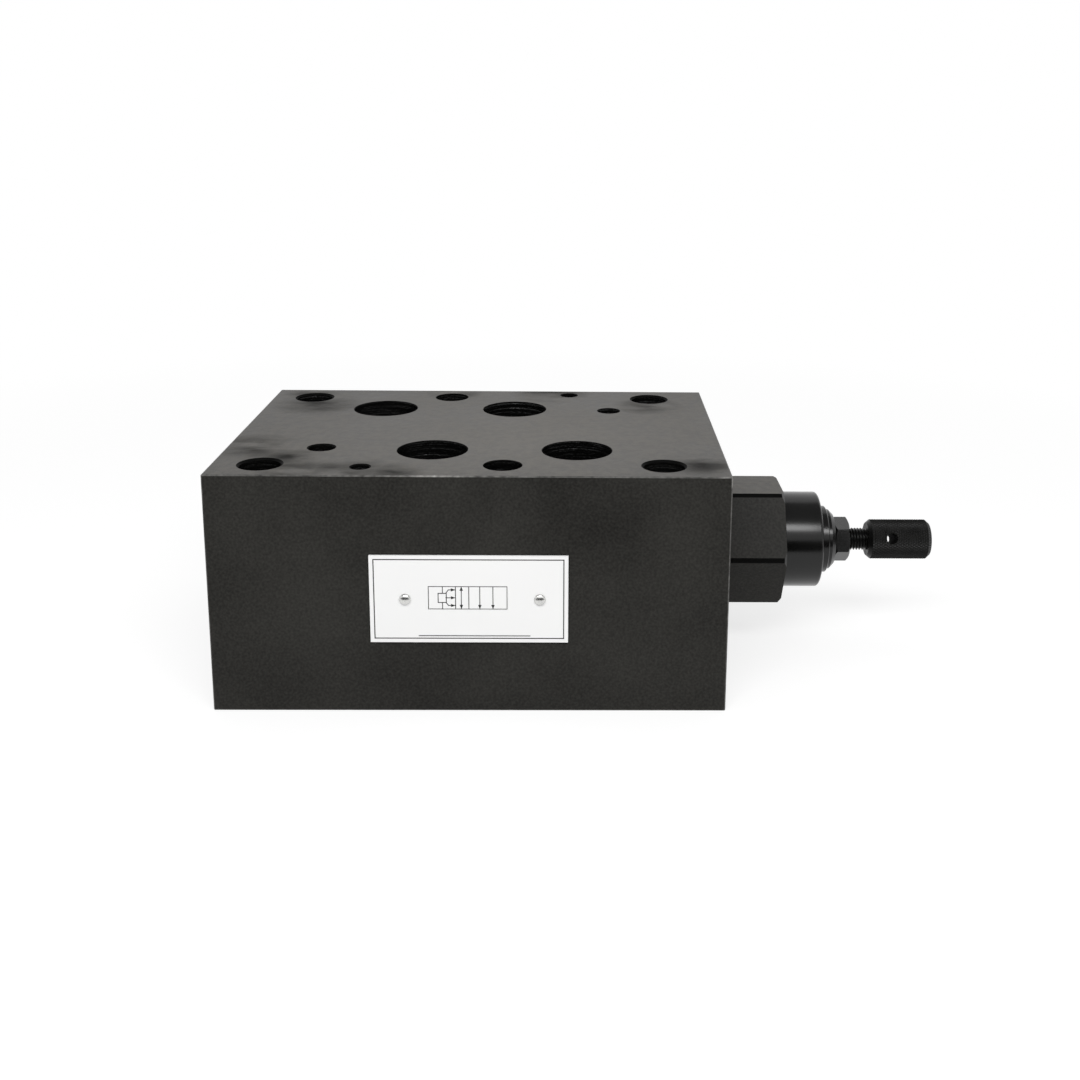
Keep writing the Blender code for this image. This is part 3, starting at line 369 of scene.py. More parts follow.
def ground_top():
    """The ground and blackened faces: fine lines along the block, a mottled grain, painted light that makes the top
    face lighter near its front middle, and dark patches near its edges and holes, partly smudged and partly painted
    shade.
    """
    tint = (1.0, 0.975, 0.94, 1.0)
    material, tree, shader = new_material("ground_black", Specular_IOR_Level=0.14, Specular_Tint=tint)
    clouds = noise(tree, 30.0, (1, 0.7, 1), 4.0, 0.36, 0.64)
    mottle = noise(tree, 420.0, (1, 0.6, 1), 5.0, 0.36, 0.64)
    grain = noise(tree, 1500.0, detail=2.0)
    lines = noise(tree, 1.0, (14, 1500, 14), detail=3.0)
    # painted light: the top face's colour is lighter near the pool's centre
    fine = maths(tree, "SUBTRACT", maths(tree, "MULTIPLY", near(tree, PAINTED_LIGHT_POOL), 0.45), 0.17)
    for share, part in ((0.28, clouds), (0.45, mottle), (0.14, grain), (0.08, lines)):
        fine = maths(tree, "ADD", fine, maths(tree, "MULTIPLY", part, share))
    # dark patches near the top face's edges and holes: partly smudged, partly painted shade
    smudge_and_shade_spots = maths(tree, "MULTIPLY", near(tree, SMUDGES_AND_SHADE), 1.3)
    smudges_and_shade = maths(tree, "MULTIPLY", smudge_and_shade_spots, noise(tree, 85.0, (0.45, 0.9, 1), 5.0, 0.38, 0.62))
    colour = blend(tree, fine, (0.034, 0.032, 0.029), (0.122, 0.115, 0.103))
    # the dark colour of those patches
    tree.links.new(blend(tree, smudges_and_shade, colour, (0.012, 0.0115, 0.0105)), shader.inputs["Base Color"])
    dullness = spread(tree, maths(tree, "ADD", mottle, clouds), 0.0, 2.0, 0.34, 0.48)
    dullness = maths(tree, "ADD", dullness, maths(tree, "MULTIPLY", smudges_and_shade, 0.3))
    tree.links.new(dullness, shader.inputs["Roughness"])
    relief = maths(tree, "ADD", maths(tree, "MULTIPLY", mottle, 4.0), maths(tree, "ADD", grain, lines))
    roughened(tree, shader, relief, 0.010)
    return material


def edge_glint_and_wear():
    """Blackened edges with faint wear all along, made bright near given places: partly wear from handling, partly a
    painted highlight.
    """
    material, tree, shader = new_material("edge_glint_and_wear", Specular_IOR_Level=0.3)
    grain = noise(tree, 500.0, detail=3.0, low=0.2, high=0.75)
    # painted highlight and wear from handling: bright colour near the given places on the edges
    rub_and_glint = maths(tree, "MULTIPLY", near(tree, RUB_AND_GLINT_SPOTS), grain)
    faint = maths(tree, "MULTIPLY", noise(tree, 60.0, low=0.1, high=0.7), maths(tree, "MULTIPLY", grain, 0.4))
    share = maths(tree, "MAXIMUM", rub_and_glint, faint)
    tree.links.new(blend(tree, share, (0.017, 0.0165, 0.015), (0.46, 0.45, 0.43)), shader.inputs["Base Color"])
    tree.links.new(spread(tree, share, 0.0, 1.0, 0.5, 0.35), shader.inputs["Roughness"])
    return material


def make_materials():
    black = (0.0105, 0.0100, 0.0090)
    grey = (0.036, 0.035, 0.0315)
    deep = (0.0016, 0.0016, 0.0015)
    soft = (0.0032, 0.0032, 0.0030)
    dull = (0.009, 0.009, 0.0085)
    return {
        "ground": ground_top(),
        "oxide": finish(
            "black_oxide",
            black,
            grey,
            (0.50, 0.58),
            26.0,
            speckle=0.5,
            grain=1200.0,
            depth=0.02,
            Specular_IOR_Level=0.12,
        ),
        "bore": finish(
            "bored_wall", deep, soft, (0.20, 0.28), 40.0, lines=(25, 25, 900), depth=0.17, Specular_IOR_Level=0.3
        ),
        # painted shade: a duller copy of the bored finish, near-black and almost without reflection, for hole
        # chamfers and the head's turned-off corners
        "rim": finish("dark_rim_painted_shade", deep, soft, (0.5, 0.65), 420.0, Specular_IOR_Level=0.04),
        "shade": finish("dark_recess", deep, soft, (0.7, 0.8), 200.0, Specular_IOR_Level=0.02),
        "wear_and_glint": edge_glint_and_wear(),
        "turned": finish(
            "turned_black", deep, soft, (0.17, 0.24), 50.0, lines=(900, 30, 30), depth=0.004, Specular_IOR_Level=0.38
        ),
        "nut": finish("nut_black", deep, soft, (0.2, 0.3), 120.0, depth=0.006, Specular_IOR_Level=0.85),
        "thread": finish("screw_black", deep, soft, (0.25, 0.35), 120.0, depth=0.004, Specular_IOR_Level=0.2),
        "knurl": finish("knurled_black", soft, dull, (0.34, 0.48), 300.0, depth=0.008, Specular_IOR_Level=0.16),
        "bright": finish("bright_steel", (0.42, 0.42, 0.41), (0.6, 0.6, 0.58), (0.2, 0.32), 80.0, Metallic=1.0),
        "chrome": finish("plated_screw", (0.60, 0.60, 0.59), (0.72, 0.72, 0.7), (0.2, 0.3), 400.0, Metallic=1.0),
        "spring": finish("spring_wire", (0.22, 0.22, 0.23), (0.36, 0.36, 0.37), (0.3, 0.4), 200.0, Metallic=1.0),
        "brass": finish("turned_brass", (0.48, 0.34, 0.12), (0.62, 0.46, 0.2), (0.25, 0.35), Metallic=1.0),
        "rubber": finish("seal_rubber", (0.010, 0.010, 0.010), (0.018, 0.018, 0.018), (0.5, 0.65), grain=3000.0),
        "enamel": finish("white_enamel", (0.95, 0.95, 0.945), (0.965, 0.965, 0.96), (0.34, 0.42), 30.0, depth=0.002),
        "ink": finish("printed_ink", (0.010, 0.010, 0.010), (0.02, 0.02, 0.02), (0.5, 0.6), 200.0, depth=0.001),
    }


# Shapes


def new_piece(name, shape, materials):
    """Turns a bmesh in millimetres into an object in metres, with its normals outward and its flats flat."""
    bmesh.ops.scale(shape, vec=(MM, MM, MM), verts=shape.verts[:])
    bmesh.ops.recalc_face_normals(shape, faces=shape.faces[:])
    mesh = bpy.data.meshes.new(name)
    shape.to_mesh(mesh)
    shape.free()
    for material in materials:
        mesh.materials.append(material)
    piece = bpy.data.objects.new(name, mesh)
    bpy.context.scene.collection.objects.link(piece)
    smoothed(piece)
    return piece


def smoothed(piece):
    piece.data.shade_smooth()
    piece.data.set_sharp_from_angle(angle=math.radians(32))


def lathe(name, outline, materials, axis="X", centre=(0, 0, 0), sides=SIDES, closed=False, relief=None, bands=None):
    """Spins an outline of (along, radius) points. Relief changes a radius, and bands give each band's material."""
    shape = bmesh.new()
    points = list(outline)
    if not closed:
        points = [(points[0][0], 0.0)] + points + [(points[-1][0], 0.0)]
        bands = [0] + list(bands or [0] * (len(outline) - 1)) + [0]
    bands = list(bands or [0] * len(points))
    rings = []
    for along, radius in points:
        ring = []
        for side in range(sides if radius > TINY else 1):
            angle = 2 * math.pi * side / sides
            reach = relief(along, radius, angle) if relief else radius
            a, b = reach * math.cos(angle), reach * math.sin(angle)
            place = {"X": (along, a, b), "Y": (b, along, a), "Z": (a, b, along)}[axis]
            ring.append(shape.verts.new(Vector(place) + Vector(centre)))
        rings.append(ring)
    pairs = list(zip(rings, rings[1:], bands))
    if closed:
        pairs.append((rings[-1], rings[0], bands[-1]))
    for first, second, band in pairs:
        for side in range(sides):
            corners = []
            for ring, step in ((first, side), (first, side + 1), (second, side + 1), (second, side)):
                vertex = ring[step % len(ring)]
                if vertex not in corners:
                    corners.append(vertex)
            if len(corners) > 2:
                shape.faces.new(corners).material_index = band
    return new_piece(name, shape, materials)


def hexagon(name, flats, start, end, first_corner, materials):
    """A hexagonal prism along the bore axis."""
    shape = bmesh.new()
    ends = []
    for x in (start, end):
        corners = []
        for corner in range(6):
            angle = first_corner + math.radians(60 * corner)
            radius = flats / 2 / math.cos(math.radians(30))
            place = (x, radius * math.sin(angle), AXIS_Z + radius * math.cos(angle))
            corners.append(shape.verts.new(place))
        ends.append(corners)
    shape.faces.new(ends[0])
    shape.faces.new(ends[1][::-1])
    for corner in range(6):
        following = (corner + 1) % 6
        shape.faces.new((ends[0][corner], ends[0][following], ends[1][following], ends[1][corner]))
    return new_piece(name, shape, materials)


def cuboid(name, low, high, edge, materials, band=0, segments=3):
    """A box between two corners with rounded edges."""
    shape = bmesh.new()
    size = Vector(high) - Vector(low)
    bmesh.ops.create_cube(shape, size=1)
    bmesh.ops.scale(shape, vec=size, verts=shape.verts[:])
    bmesh.ops.translate(shape, vec=Vector(low) + size / 2, verts=shape.verts[:])
    bmesh.ops.bevel(
        shape, geom=shape.edges[:], offset=edge, segments=segments, affect="EDGES", profile=0.5, material=band
    )
    return new_piece(name, shape, materials)


def combine(piece, tools, operation="DIFFERENCE"):
    """Cuts a piece with its tools, keeps the tools' materials on the cut faces, and removes the tools."""
    for tool in tools:
        boolean = piece.modifiers.new(tool.name, "BOOLEAN")
        boolean.operation = operation
        boolean.solver = "EXACT"
        boolean.material_mode = "TRANSFER"
        boolean.object = tool
    graph = bpy.context.evaluated_depsgraph_get()
    shaped = bpy.data.meshes.new_from_object(piece.evaluated_get(graph), depsgraph=graph)
    piece.modifiers.clear()
    piece.data = shaped
    for tool in tools:
        bpy.data.objects.remove(tool)
    smoothed(piece)
    level = piece.modifiers.new("flat_faces", "WEIGHTED_NORMAL")
    level.keep_sharp = True
    return piece


def dress(piece, body, slot, *nodes):
    """Puts a piece on its body in place of the solids it stands for."""
    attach(piece, body)
    if nodes:
        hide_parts(*nodes)


def hole_cutters(looks):
    """Cutters for every vertical hole, with bored walls and chamfers given painted shade."""
    top = HEIGHT + OVERCUT
    cutters = []
    for name, x, y, radius, floor, chamfer, recess in HOLES:
        outline = [(floor, radius)]
        bands = [0]
        if recess:
            outline = [(floor, recess[0]), (recess[1], recess[0]), (recess[1], radius)]
            bands = [0, 0, 0]
        outline += [(HEIGHT - chamfer, radius), (top, radius + chamfer + OVERCUT)]
        # the chamfer band takes the painted shade
        bands.append(1)
        cutters.append(
            lathe(f"cut_{name}", outline, [looks["bore"], looks["rim"]], "Z", (x, y, 0), HOLE_SIDES, bands=bands)
        )
    for name, x, y, radius, roof, recess in LOWER_HOLES:
        outline = [(-OVERCUT, radius), (roof, radius)]
        if recess:
            outline = [(-OVERCUT, recess[0]), (recess[1], recess[0]), (recess[1], radius), (roof, radius)]
        cutters.append(lathe(f"cut_{name}", outline, [looks["bore"]], "Z", (x, y, 0), HOLE_SIDES))
    return cutters


def regrind(piece, looks):
    """Gives a piece's level faces the ground finish."""
    names = [material.name for material in piece.data.materials]
    ground = names.index(looks["ground"].name)
    for polygon in piece.data.polygons:
        if polygon.material_index == names.index(looks["oxide"].name) and abs(polygon.normal.z) > 0.99:
            polygon.material_index = ground


def make_block(looks):
    """The drilled block."""
    block = cuboid(
        "block_dressed",
        (LEFT, FRONT, 0),
        (RIGHT, BACK, HEIGHT),
        EDGE,
        [looks["oxide"], looks["wear_and_glint"], looks["ground"], looks["bore"]],
        band=1,
    )
    cutters = hole_cutters(looks)
    cutters.append(lathe("cut_bore", BORE_OUTLINE, [looks["bore"]], "X", AXIS))
    for name, x, z in PASSAGES:
        outline = (
            (0.0, PASSAGE_RADIUS),
            (BACK - PASSAGE_PLUG_DEPTH, PASSAGE_RADIUS),
            (BACK - PASSAGE_PLUG_DEPTH, PASSAGE_PLUG_RADIUS),
            (BACK + OVERCUT, PASSAGE_PLUG_RADIUS),
        )
        cutters.append(lathe(f"cut_{name}", outline, [looks["bore"]], "Y", (x, 0, z), HOLE_SIDES))
    combine(block, cutters)
    regrind(block, looks)
    dress(block, "valve", "block", "valve_body")


def make_head(looks):
    """The hexagon head, whose corners are turned off and given painted shade."""
    radii = [radius for _, radius in HEAD_OUTLINE]
    # band 1, the head's turned-off corners, takes the painted shade
    bands = [int(first == second == HEAD_CORNER) for first, second in zip(radii, radii[1:])] + [0]
    finishes = [looks["turned"], looks["rim"]]
    head = lathe("pilot_head_dressed", HEAD_OUTLINE, finishes, "X", AXIS, closed=True, bands=bands)
    flats = hexagon("cut_flats", HEX_FLATS, 50.0, 110.0, math.radians(90), [looks["oxide"], looks["ground"]])
    combine(head, [flats], "INTERSECT")
    regrind(head, looks)
    dress(head, "valve", "dark_steel", "pilot_head")


def make_bonnet(looks):
    bonnet = lathe("bonnet_dressed", BONNET_OUTLINE, [looks["turned"]], "X", AXIS, closed=True)
    dress(bonnet, "valve", "polished_black", "bonnet")


def make_nut(looks):
    """The lock nut, chamfered on both sides."""
    inner = SCREW_RADIUS + 0.15
    right = NUT_LEFT + NUT_THICKNESS
    outline = (
        (NUT_LEFT, inner),
        (NUT_LEFT, NUT_CORNER - NUT_CHAMFER),
        (NUT_LEFT + NUT_CHAMFER / 2, NUT_CORNER),
        (right - NUT_CHAMFER / 2, NUT_CORNER),
        (right, NUT_CORNER - NUT_CHAMFER),
        (right, inner),
    )
    nut = lathe("lock_nut_dressed", outline, [looks["turned"]], "X", AXIS, closed=True)
    flats = hexagon("cut_nut", NUT_FLATS, NUT_LEFT - 1, right + 1, NUT_TURN, [looks["nut"]])
    combine(nut, [flats], "INTERSECT")
    dress(nut, "lock_nut", "polished_black", "lock_nut")


def triangle_wave(value):
    """0 at whole numbers and 1 halfway between them."""
    return 1 - abs(2 * (value % 1) - 1)


def thread_relief(along, radius, angle):
    """A right-hand thread with flat crests and roots."""
    if radius < SCREW_RADIUS - TINY:
        return radius
    height = (triangle_wave(along / THREAD_PITCH - angle / (2 * math.pi)) - 0.2) / 0.65
    return radius - THREAD_DEPTH * (1 - min(max(height, 0), 1))


def knurl_relief(along, radius, angle):
    """Crossed grooves that leave rows of small diamonds."""
    if not KNOB_LEFT + KNOB_CHAMFER < along < KNOB_RIGHT - KNOB_CHAMFER:
        return radius
    turn = KNURL_TEETH * angle / (2 * math.pi)
    lean = KNURL_TEETH * (along - KNOB_LEFT) * math.tan(KNURL_ANGLE) / (2 * math.pi * KNOB_RADIUS)
    height = min(triangle_wave(turn + lean), triangle_wave(turn - lean))
    return radius - KNURL_DEPTH * (1 - min(1.0, 1.25 * height))


def make_adjusting_screw(looks):
    """The threaded spindle and its knurled head, cross-drilled for a bar."""
    steps = round((KNOB_LEFT + 0.5 - SCREW_TIP) / THREAD_PITCH * THREAD_STEPS)
    outline = [(SCREW_TIP, SCREW_RADIUS - THREAD_DEPTH)]
    outline += [(SCREW_TIP + (step + 1) * THREAD_PITCH / THREAD_STEPS, SCREW_RADIUS) for step in range(steps)]
    spindle = lathe(
        "screw_thread", outline, [looks["thread"]], "X", AXIS, SCREW_SIDES, relief=thread_relief
    )
    dress(spindle, "adjuster", "polished_black")
    knurled = KNOB_RIGHT - KNOB_LEFT - 2 * KNOB_CHAMFER
    rings = round(knurled / KNURL_STEP)
    start = KNOB_LEFT + KNOB_CHAMFER
    outline = [(KNOB_LEFT, KNOB_RADIUS - KNOB_CHAMFER), (start, KNOB_RADIUS - KNURL_DEPTH / 2)]
    outline += [(start + (ring + 0.5) * knurled / rings, KNOB_RADIUS) for ring in range(rings)]
    outline += [(start + knurled, KNOB_RADIUS - KNURL_DEPTH / 2), (KNOB_RIGHT, KNOB_RADIUS - KNOB_CHAMFER)]
    sides = KNURL_TEETH * KNURL_SIDES_PER_TOOTH
    bands = [1] + [0] * (len(outline) - 3) + [1]
    knob = lathe(
        "knurled_head",
        outline,
        [looks["knurl"], looks["thread"]],
        "X",
        AXIS,
        sides,
        relief=knurl_relief,
        bands=bands,
    )
    reach = KNOB_HOLE_REACH
    ends = [(-reach, KNOB_HOLE_RADIUS), (reach, KNOB_HOLE_RADIUS)]
    hole = lathe("cut_knob", ends, [looks["shade"]], "Y", sides=64)
    turn = Matrix.Rotation(-KNOB_HOLE_TILT, 4, "X")
    hole.data.transform(Matrix.Translation(Vector((KNOB_HOLE_X, 0, AXIS_Z)) * MM) @ turn)
    combine(knob, [hole])
    dress(knob, "adjuster", "polished_black", "adjusting_screw")


def make_plugs(looks):
    """The bore plug in the left end, and the two passage plugs in the back face."""
    plug = lathe("bore_plug_dressed", PLUG_OUTLINE, [looks["turned"]], "X", AXIS)
    socket = hexagon("cut_socket", SOCKET_FLATS, -84.0, -82.9 + SOCKET_DEPTH, 0.0, [looks["bore"]])
    combine(plug, [socket])
    dress(plug, "valve", "dark_steel", "bore_plug")
    radius = PASSAGE_PLUG_RADIUS - 0.3
    inner = BACK - PASSAGE_PLUG_DEPTH + 0.3
    outer = BACK - 0.6
    for name, x, z in PASSAGES:
        outline = ((inner, radius), (outer - 0.4, radius), (outer, radius - 0.4))
        piece = lathe(f"{name}_plug_dressed", outline, [looks["oxide"]], "Y", (x, 0, z), 64)
        socket_outline = ((outer - 6.0, radius / 2), (outer + 1, radius / 2))
        socket = lathe(f"cut_{name}_socket", socket_outline, [looks["bore"]], "Y", (x, 0, z), 6)
        combine(piece, [socket])
        dress(piece, "valve", "dark_steel", f"{name}_passage_plug")


def make_seals(looks):
    """The six rings in the bottom face."""
    for name, x, y, inner, outer, low, high in BOTTOM_SEALS:
        outline = []
        for step in range(16):
            angle = 2 * math.pi * step / 16
            height = (low + high) / 2 + (high - low) / 2 * math.sin(angle)
            outline.append((height, (inner + outer) / 2 + (outer - inner) / 2 * math.cos(angle)))
        ring = lathe(f"{name}_dressed", outline, [looks["rubber"]], "Z", (x, y, 0), 96, closed=True)
        dress(ring, "valve", "rubber", name)


def make_springs(looks):
    """Round-wire springs with a closed turn at each end."""
    per_turn = 32
    wire_sides = 12
    for name, left, right, radius, wire, turns, joint, anchor, keep in SPRINGS:
        rise = wire + 0.1
        start = left + wire / 2
        pitch = (right - wire / 2 - start - 2 * rise) / (turns - 2)
        shape = bmesh.new()
        rings = []
        for index in range(turns * per_turn + 1):
            turn = index / per_turn
            opened = min(max(turn - 1, 0), turns - 2)
            along = start + (turn - opened) * rise + opened * pitch
            angle = 2 * math.pi * turn
            outward = Vector((0, math.sin(angle), math.cos(angle)))
            centre = Vector((along, 0, AXIS_Z)) + radius * outward
            ring = []
            for side in range(wire_sides):
                around = 2 * math.pi * side / wire_sides
                offset = outward * math.cos(around) + Vector((1, 0, 0)) * math.sin(around)
                ring.append(shape.verts.new(centre + offset * wire / 2))
            rings.append(ring)
        for first, second in zip(rings, rings[1:]):
            for side in range(wire_sides):
                following = (side + 1) % wire_sides
                shape.faces.new((first[side], first[following], second[following], second[side]))
        shape.faces.new(rings[0])
        shape.faces.new(rings[-1][::-1])
        spring = new_piece(f"{name}_dressed", shape, [looks["spring"]])
        dress(spring, "valve", "spring_steel", name)
        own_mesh(spring)


def plate_point(x, z):
    """A place on the plate, measured in millimetres from its lower left corner."""
    return x - PLATE_WIDTH / 2, z + PLATE_CENTRE_Z - PLATE_HEIGHT / 2


def ink_shape(shape, outline):
    """Adds a flat printed shape, a hair thick, on the plate's face."""
    back, front = PLATE_FRONT_Y - INK_THICKNESS / 4, PLATE_FRONT_Y - INK_THICKNESS
    rings = []
    for y in (back, front):
        rings.append([shape.verts.new((x, y, z)) for x, z in (plate_point(*point) for point in outline)])
    shape.faces.new(rings[0])
    shape.faces.new(rings[1][::-1])
    count = len(outline)
    for corner in range(count):
        following = (corner + 1) % count
        shape.faces.new((rings[0][corner], rings[0][following], rings[1][following], rings[1][corner]))


def ink_line(shape, start, end, width):
    """A printed straight line."""
    first, second = Vector(start), Vector(end)
    along = (second - first).normalized() * width / 2
    side = Vector((-along.y, along.x))
    corners = (first - along - side, second + along - side, second + along + side, first - along + side)
    ink_shape(shape, [tuple(corner) for corner in corners])


def ink_box(shape, left, bottom, right, top, width):
    corners = ((left, bottom), (right, bottom), (right, top), (left, top))
    for first, second in zip(corners, corners[1:] + corners[:1]):
        ink_line(shape, first, second, width)


def ink_arrow(shape, start, end, width):
    """A line with a head at its end."""
    ink_line(shape, start, end, width)
    tip = Vector(end)
    back = (Vector(start) - tip).normalized()
    side = Vector((-back.y, back.x))
    corners = (tip, tip + 1.4 * back + 0.55 * side, tip + 1.4 * back - 0.55 * side)
    ink_shape(shape, [tuple(corner) for corner in corners])


def make_nameplate(looks):
    """The white plate: a border, a plain diagram of boxes and arrows, and a line to write on."""
    half = PLATE_WIDTH / 2
    low = PLATE_CENTRE_Z - PLATE_HEIGHT / 2
    plate = cuboid(
        "nameplate_dressed",
        (-half, PLATE_FRONT_Y, low),
        (half, PLATE_BACK_Y, low + PLATE_HEIGHT),
        0.12,
        [looks["enamel"], looks["bore"]],
        segments=2,
    )
    holes = [
        lathe(
            f"cut_plate_{side}",
            ((PLATE_FRONT_Y - 1, 1.2), (PLATE_BACK_Y + 1, 1.2)),
            [looks["bore"]],
            "Y",
            (x, 0, PLATE_CENTRE_Z),
            32,
        )
        for side, x in PLATE_SCREWS_X
    ]
    combine(plate, holes)
    dress(plate, "valve", "plate", "nameplate")
    shape = bmesh.new()
    ink_box(shape, 1.45, 1.45, PLATE_WIDTH - 1.45, PLATE_HEIGHT - 1.35, 0.34)
    ink_box(shape, 18.8, 11.5, 43.9, 19.1, 0.24)
    ink_box(shape, 21.9, 13.7, 24.5, 16.8, 0.28)
    ink_line(shape, (23.3, 16.8), (23.3, 19.1), 0.26)
    ink_line(shape, (23.3, 11.5), (23.3, 13.7), 0.26)
    for bend, end in (((25.2, 18.0), (27.4, 18.0)), ((25.2, 15.3), (27.4, 15.3)), ((25.2, 12.7), (27.4, 12.7))):
        ink_line(shape, (24.4, 15.3 + (bend[1] - 15.3) * 0.6), bend, 0.28)
        ink_arrow(shape, bend, end, 0.28)
    ink_line(shape, (27.45, 11.5), (27.45, 19.1), 0.26)
    ink_line(shape, (31.7, 11.5), (31.7, 19.1), 0.26)
    for x in (29.3, 35.2, 39.4):
        ink_arrow(shape, (x, 19.1), (x, 11.5), 0.26)
    ink_arrow(shape, (29.3, 17.0), (29.3, 19.1), 0.26)
    ink_line(shape, (15.6, 2.3), (51.2, 2.3), 0.3)
    print_ = new_piece("nameplate_print", shape, [looks["ink"]])
    dress(print_, "valve", "plate")
    under_head = PLATE_FRONT_Y - 0.1
    for side, x in PLATE_SCREWS_X:
        outline = [(FRONT + 6.0, 1.1), (under_head, 1.1), (under_head, SCREW_HEAD_RADIUS)]
        for step in range(1, 12):
            angle = math.radians(90) * step / 12
            outline.append(
                (under_head - SCREW_HEAD_HEIGHT * math.sin(angle), SCREW_HEAD_RADIUS * math.cos(angle))
            )
        screw = lathe(f"drive_screw_{side}", outline, [looks["chrome"]], "Y", (x, 0, PLATE_CENTRE_Z), 64)
        dress(screw, "valve", "bright_steel", f"nameplate_screw_{side}")


def dress_solids(looks):
    """Finishes for the solids that stay as they are."""
    kinds = {"rubber": "rubber", "brass": "brass", "bright_steel": "bright", "dark_steel": "oxide"}
    for subpart in frame["record"]["subparts"]:
        node = frame["nodes"][subpart["node"]]
        kind = kinds.get(subpart["material_slot"])
        if kind and not node.hide_render:
            node.data.materials.clear()
            node.data.materials.append(looks[kind])


# Stage


def seen_directly(tree):
    """1 for rays from the camera, and those reflected or let through by the object."""
    path = add(tree, "ShaderNodeLightPath")
    shiny = maths(tree, "MAXIMUM", path.outputs["Is Glossy Ray"], path.outputs["Is Transmission Ray"])
    return maths(tree, "MAXIMUM", path.outputs["Is Camera Ray"], shiny)


def make_world():
    """White wherever it is seen, and a gentler fill on the object."""
    world = bpy.data.worlds.new("studio")
    world.use_nodes = True
    bpy.context.scene.world = world
    tree = world.node_tree
    background = tree.nodes["Background"]
    background.inputs["Color"].default_value = (1, 1, 1, 1)
    strength = spread(tree, seen_directly(tree), 0.0, 1.0, FILL, 1.0)
    tree.links.new(strength, background.inputs["Strength"])


def make_floor():
    """A white floor that keeps the object's shadow, fades into the background and is clear from below."""
    mesh = bpy.data.meshes.new("floor")
    reach = FLOOR_REACH
    corners = [(-reach, -reach, 0), (reach, -reach, 0), (reach, reach, 0), (-reach, reach, 0)]
    mesh.from_pydata(corners, [], [(0, 1, 2, 3)])
    floor = bpy.data.objects.new("floor", mesh)
    bpy.context.scene.collection.objects.link(floor)
    material = bpy.data.materials.new("paper")
    material.use_nodes = True
    tree = material.node_tree
    tree.nodes.remove(tree.nodes["Principled BSDF"])
    place = add(tree, "ShaderNodeTexCoord").outputs["Object"]
    away = add(tree, "ShaderNodeVectorMath", {0: place}, operation="LENGTH").outputs["Value"]
    close = spread(tree, away, *FLOOR_FADE, 1.0, 0.0)
    grey = blend(tree, close, (0.0, 0.0, 0.0), (FLOOR_SHADE, FLOOR_SHADE, FLOOR_SHADE))
    catch = add(tree, "ShaderNodeBsdfDiffuse", {"Color": grey})
    glow = add(tree, "ShaderNodeEmission", {"Strength": spread(tree, close, 0.0, 1.0, 1.0, FLOOR_GLOW)})
    seen = add(tree, "ShaderNodeAddShader", {0: catch.outputs[0], 1: glow.outputs[0]})
    plain = add(tree, "ShaderNodeBsdfDiffuse", {"Color": (0.8, 0.8, 0.8, 1)})
    mixed = add(tree, "ShaderNodeMixShader", {0: seen_directly(tree), 1: plain.outputs[0], 2: seen.outputs[0]})
    below = add(tree, "ShaderNodeNewGeometry").outputs["Backfacing"]
    clear = add(tree, "ShaderNodeBsdfTransparent")
    paper = add(tree, "ShaderNodeMixShader", {0: below, 1: mixed.outputs[0], 2: clear.outputs[0]})
    tree.links.new(paper.outputs[0], tree.nodes["Material Output"].inputs["Surface"])
    mesh.materials.append(material)


def add_card(name, corners, level):
    """A flat card that only reflections show: an unlit or dimly lit side of the studio."""
    mesh = bpy.data.meshes.new(name)
    mesh.from_pydata(corners, [], [(0, 1, 2, 3)])
    card = bpy.data.objects.new(name, mesh)
    bpy.context.scene.collection.objects.link(card)
    material = bpy.data.materials.new(name)
    material.use_nodes = True
    tree = material.node_tree
    tree.nodes.remove(tree.nodes["Principled BSDF"])
    glow = add(tree, "ShaderNodeEmission", {"Strength": level})
    tree.links.new(glow.outputs[0], tree.nodes["Material Output"].inputs["Surface"])
    mesh.materials.append(material)
    card.visible_camera = False
    card.visible_diffuse = False
    card.visible_shadow = False
    card.visible_transmission = False


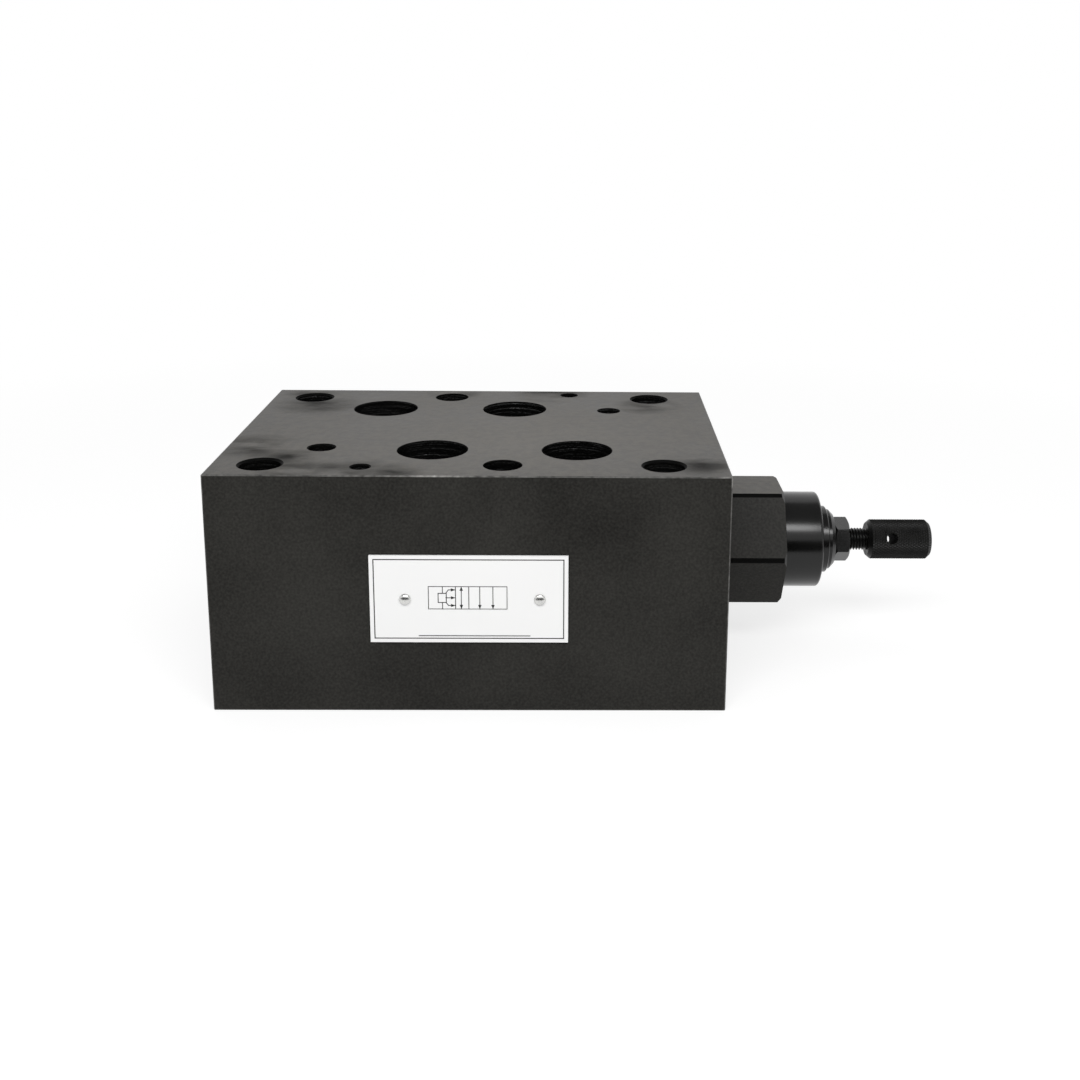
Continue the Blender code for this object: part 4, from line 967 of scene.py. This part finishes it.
def make_cards():
    """The dark room in front of the object, and its grey ceiling."""
    side = CARD_SIDE
    far = -CARD_SIDE
    top = 0.34
    add_card("dark_wall", [(-side, far, 0.0), (side, far, 0.0), (side, far, top), (-side, far, top)], DARK)
    edge, lift = -0.18, 0.002
    corners = [(-side, far, lift), (side, far, lift), (side, edge, lift), (-side, edge, lift)]
    add_card("dark_cloth", corners, DARK)
    front, back, height = -0.55, 0.50, 0.90
    corners = [(-side, front, height), (side, front, height), (side, back, height), (-side, back, height)]
    add_card("grey_ceiling", corners, DIM)


def add_lamp(name, place, target, width, height, radiance):
    """A rectangular soft lamp that faces a point, with the radiance of its surface."""
    data = bpy.data.lights.new(name, "AREA")
    data.shape = "RECTANGLE"
    data.size = width
    data.size_y = height
    data.energy = radiance * math.pi * width * height
    lamp = bpy.data.objects.new(name, data)
    lamp.location = place
    lamp.rotation_euler = (Vector(target) - Vector(place)).to_track_quat("-Z", "Y").to_euler()
    bpy.context.scene.collection.objects.link(lamp)


def make_camera():
    data = bpy.data.cameras.new("camera")
    data.sensor_width = 36
    data.lens = 43.841
    data.shift_x = -0.0551
    data.shift_y = -0.1481
    data.clip_start = 0.01
    camera = bpy.data.objects.new("camera", data)
    yaw, pitch, roll = math.radians(1.172), math.radians(12.71), math.radians(0.623)
    turn = Matrix.Rotation(-yaw, 4, "Z") @ Matrix.Rotation(math.radians(90) - pitch, 4, "X")
    turn = turn @ Matrix.Rotation(roll, 4, "Z")
    camera.matrix_world = Matrix.Translation((0.03289, -0.45496, 0.20055)) @ turn
    bpy.context.scene.collection.objects.link(camera)
    bpy.context.scene.camera = camera


def make_scene():
    looks = make_materials()
    make_block(looks)
    make_head(looks)
    make_bonnet(looks)
    make_nut(looks)
    make_adjusting_screw(looks)
    make_plugs(looks)
    make_seals(looks)
    make_springs(looks)
    make_nameplate(looks)
    dress_solids(looks)
    make_world()
    make_floor()
    make_cards()
    add_lamp("front_softbox", (0.05, -0.66, 0.70), (0.03, 0.0, 0.04), 0.9, 0.22, 9.0)
    add_lamp("overhead_softbox", (0.0, 0.25, 0.95), (0.0, 0.0, 0.05), 0.8, 0.5, 0.7)
    make_camera()
    bpy.context.scene.view_settings.view_transform = "Standard"


make_scene()
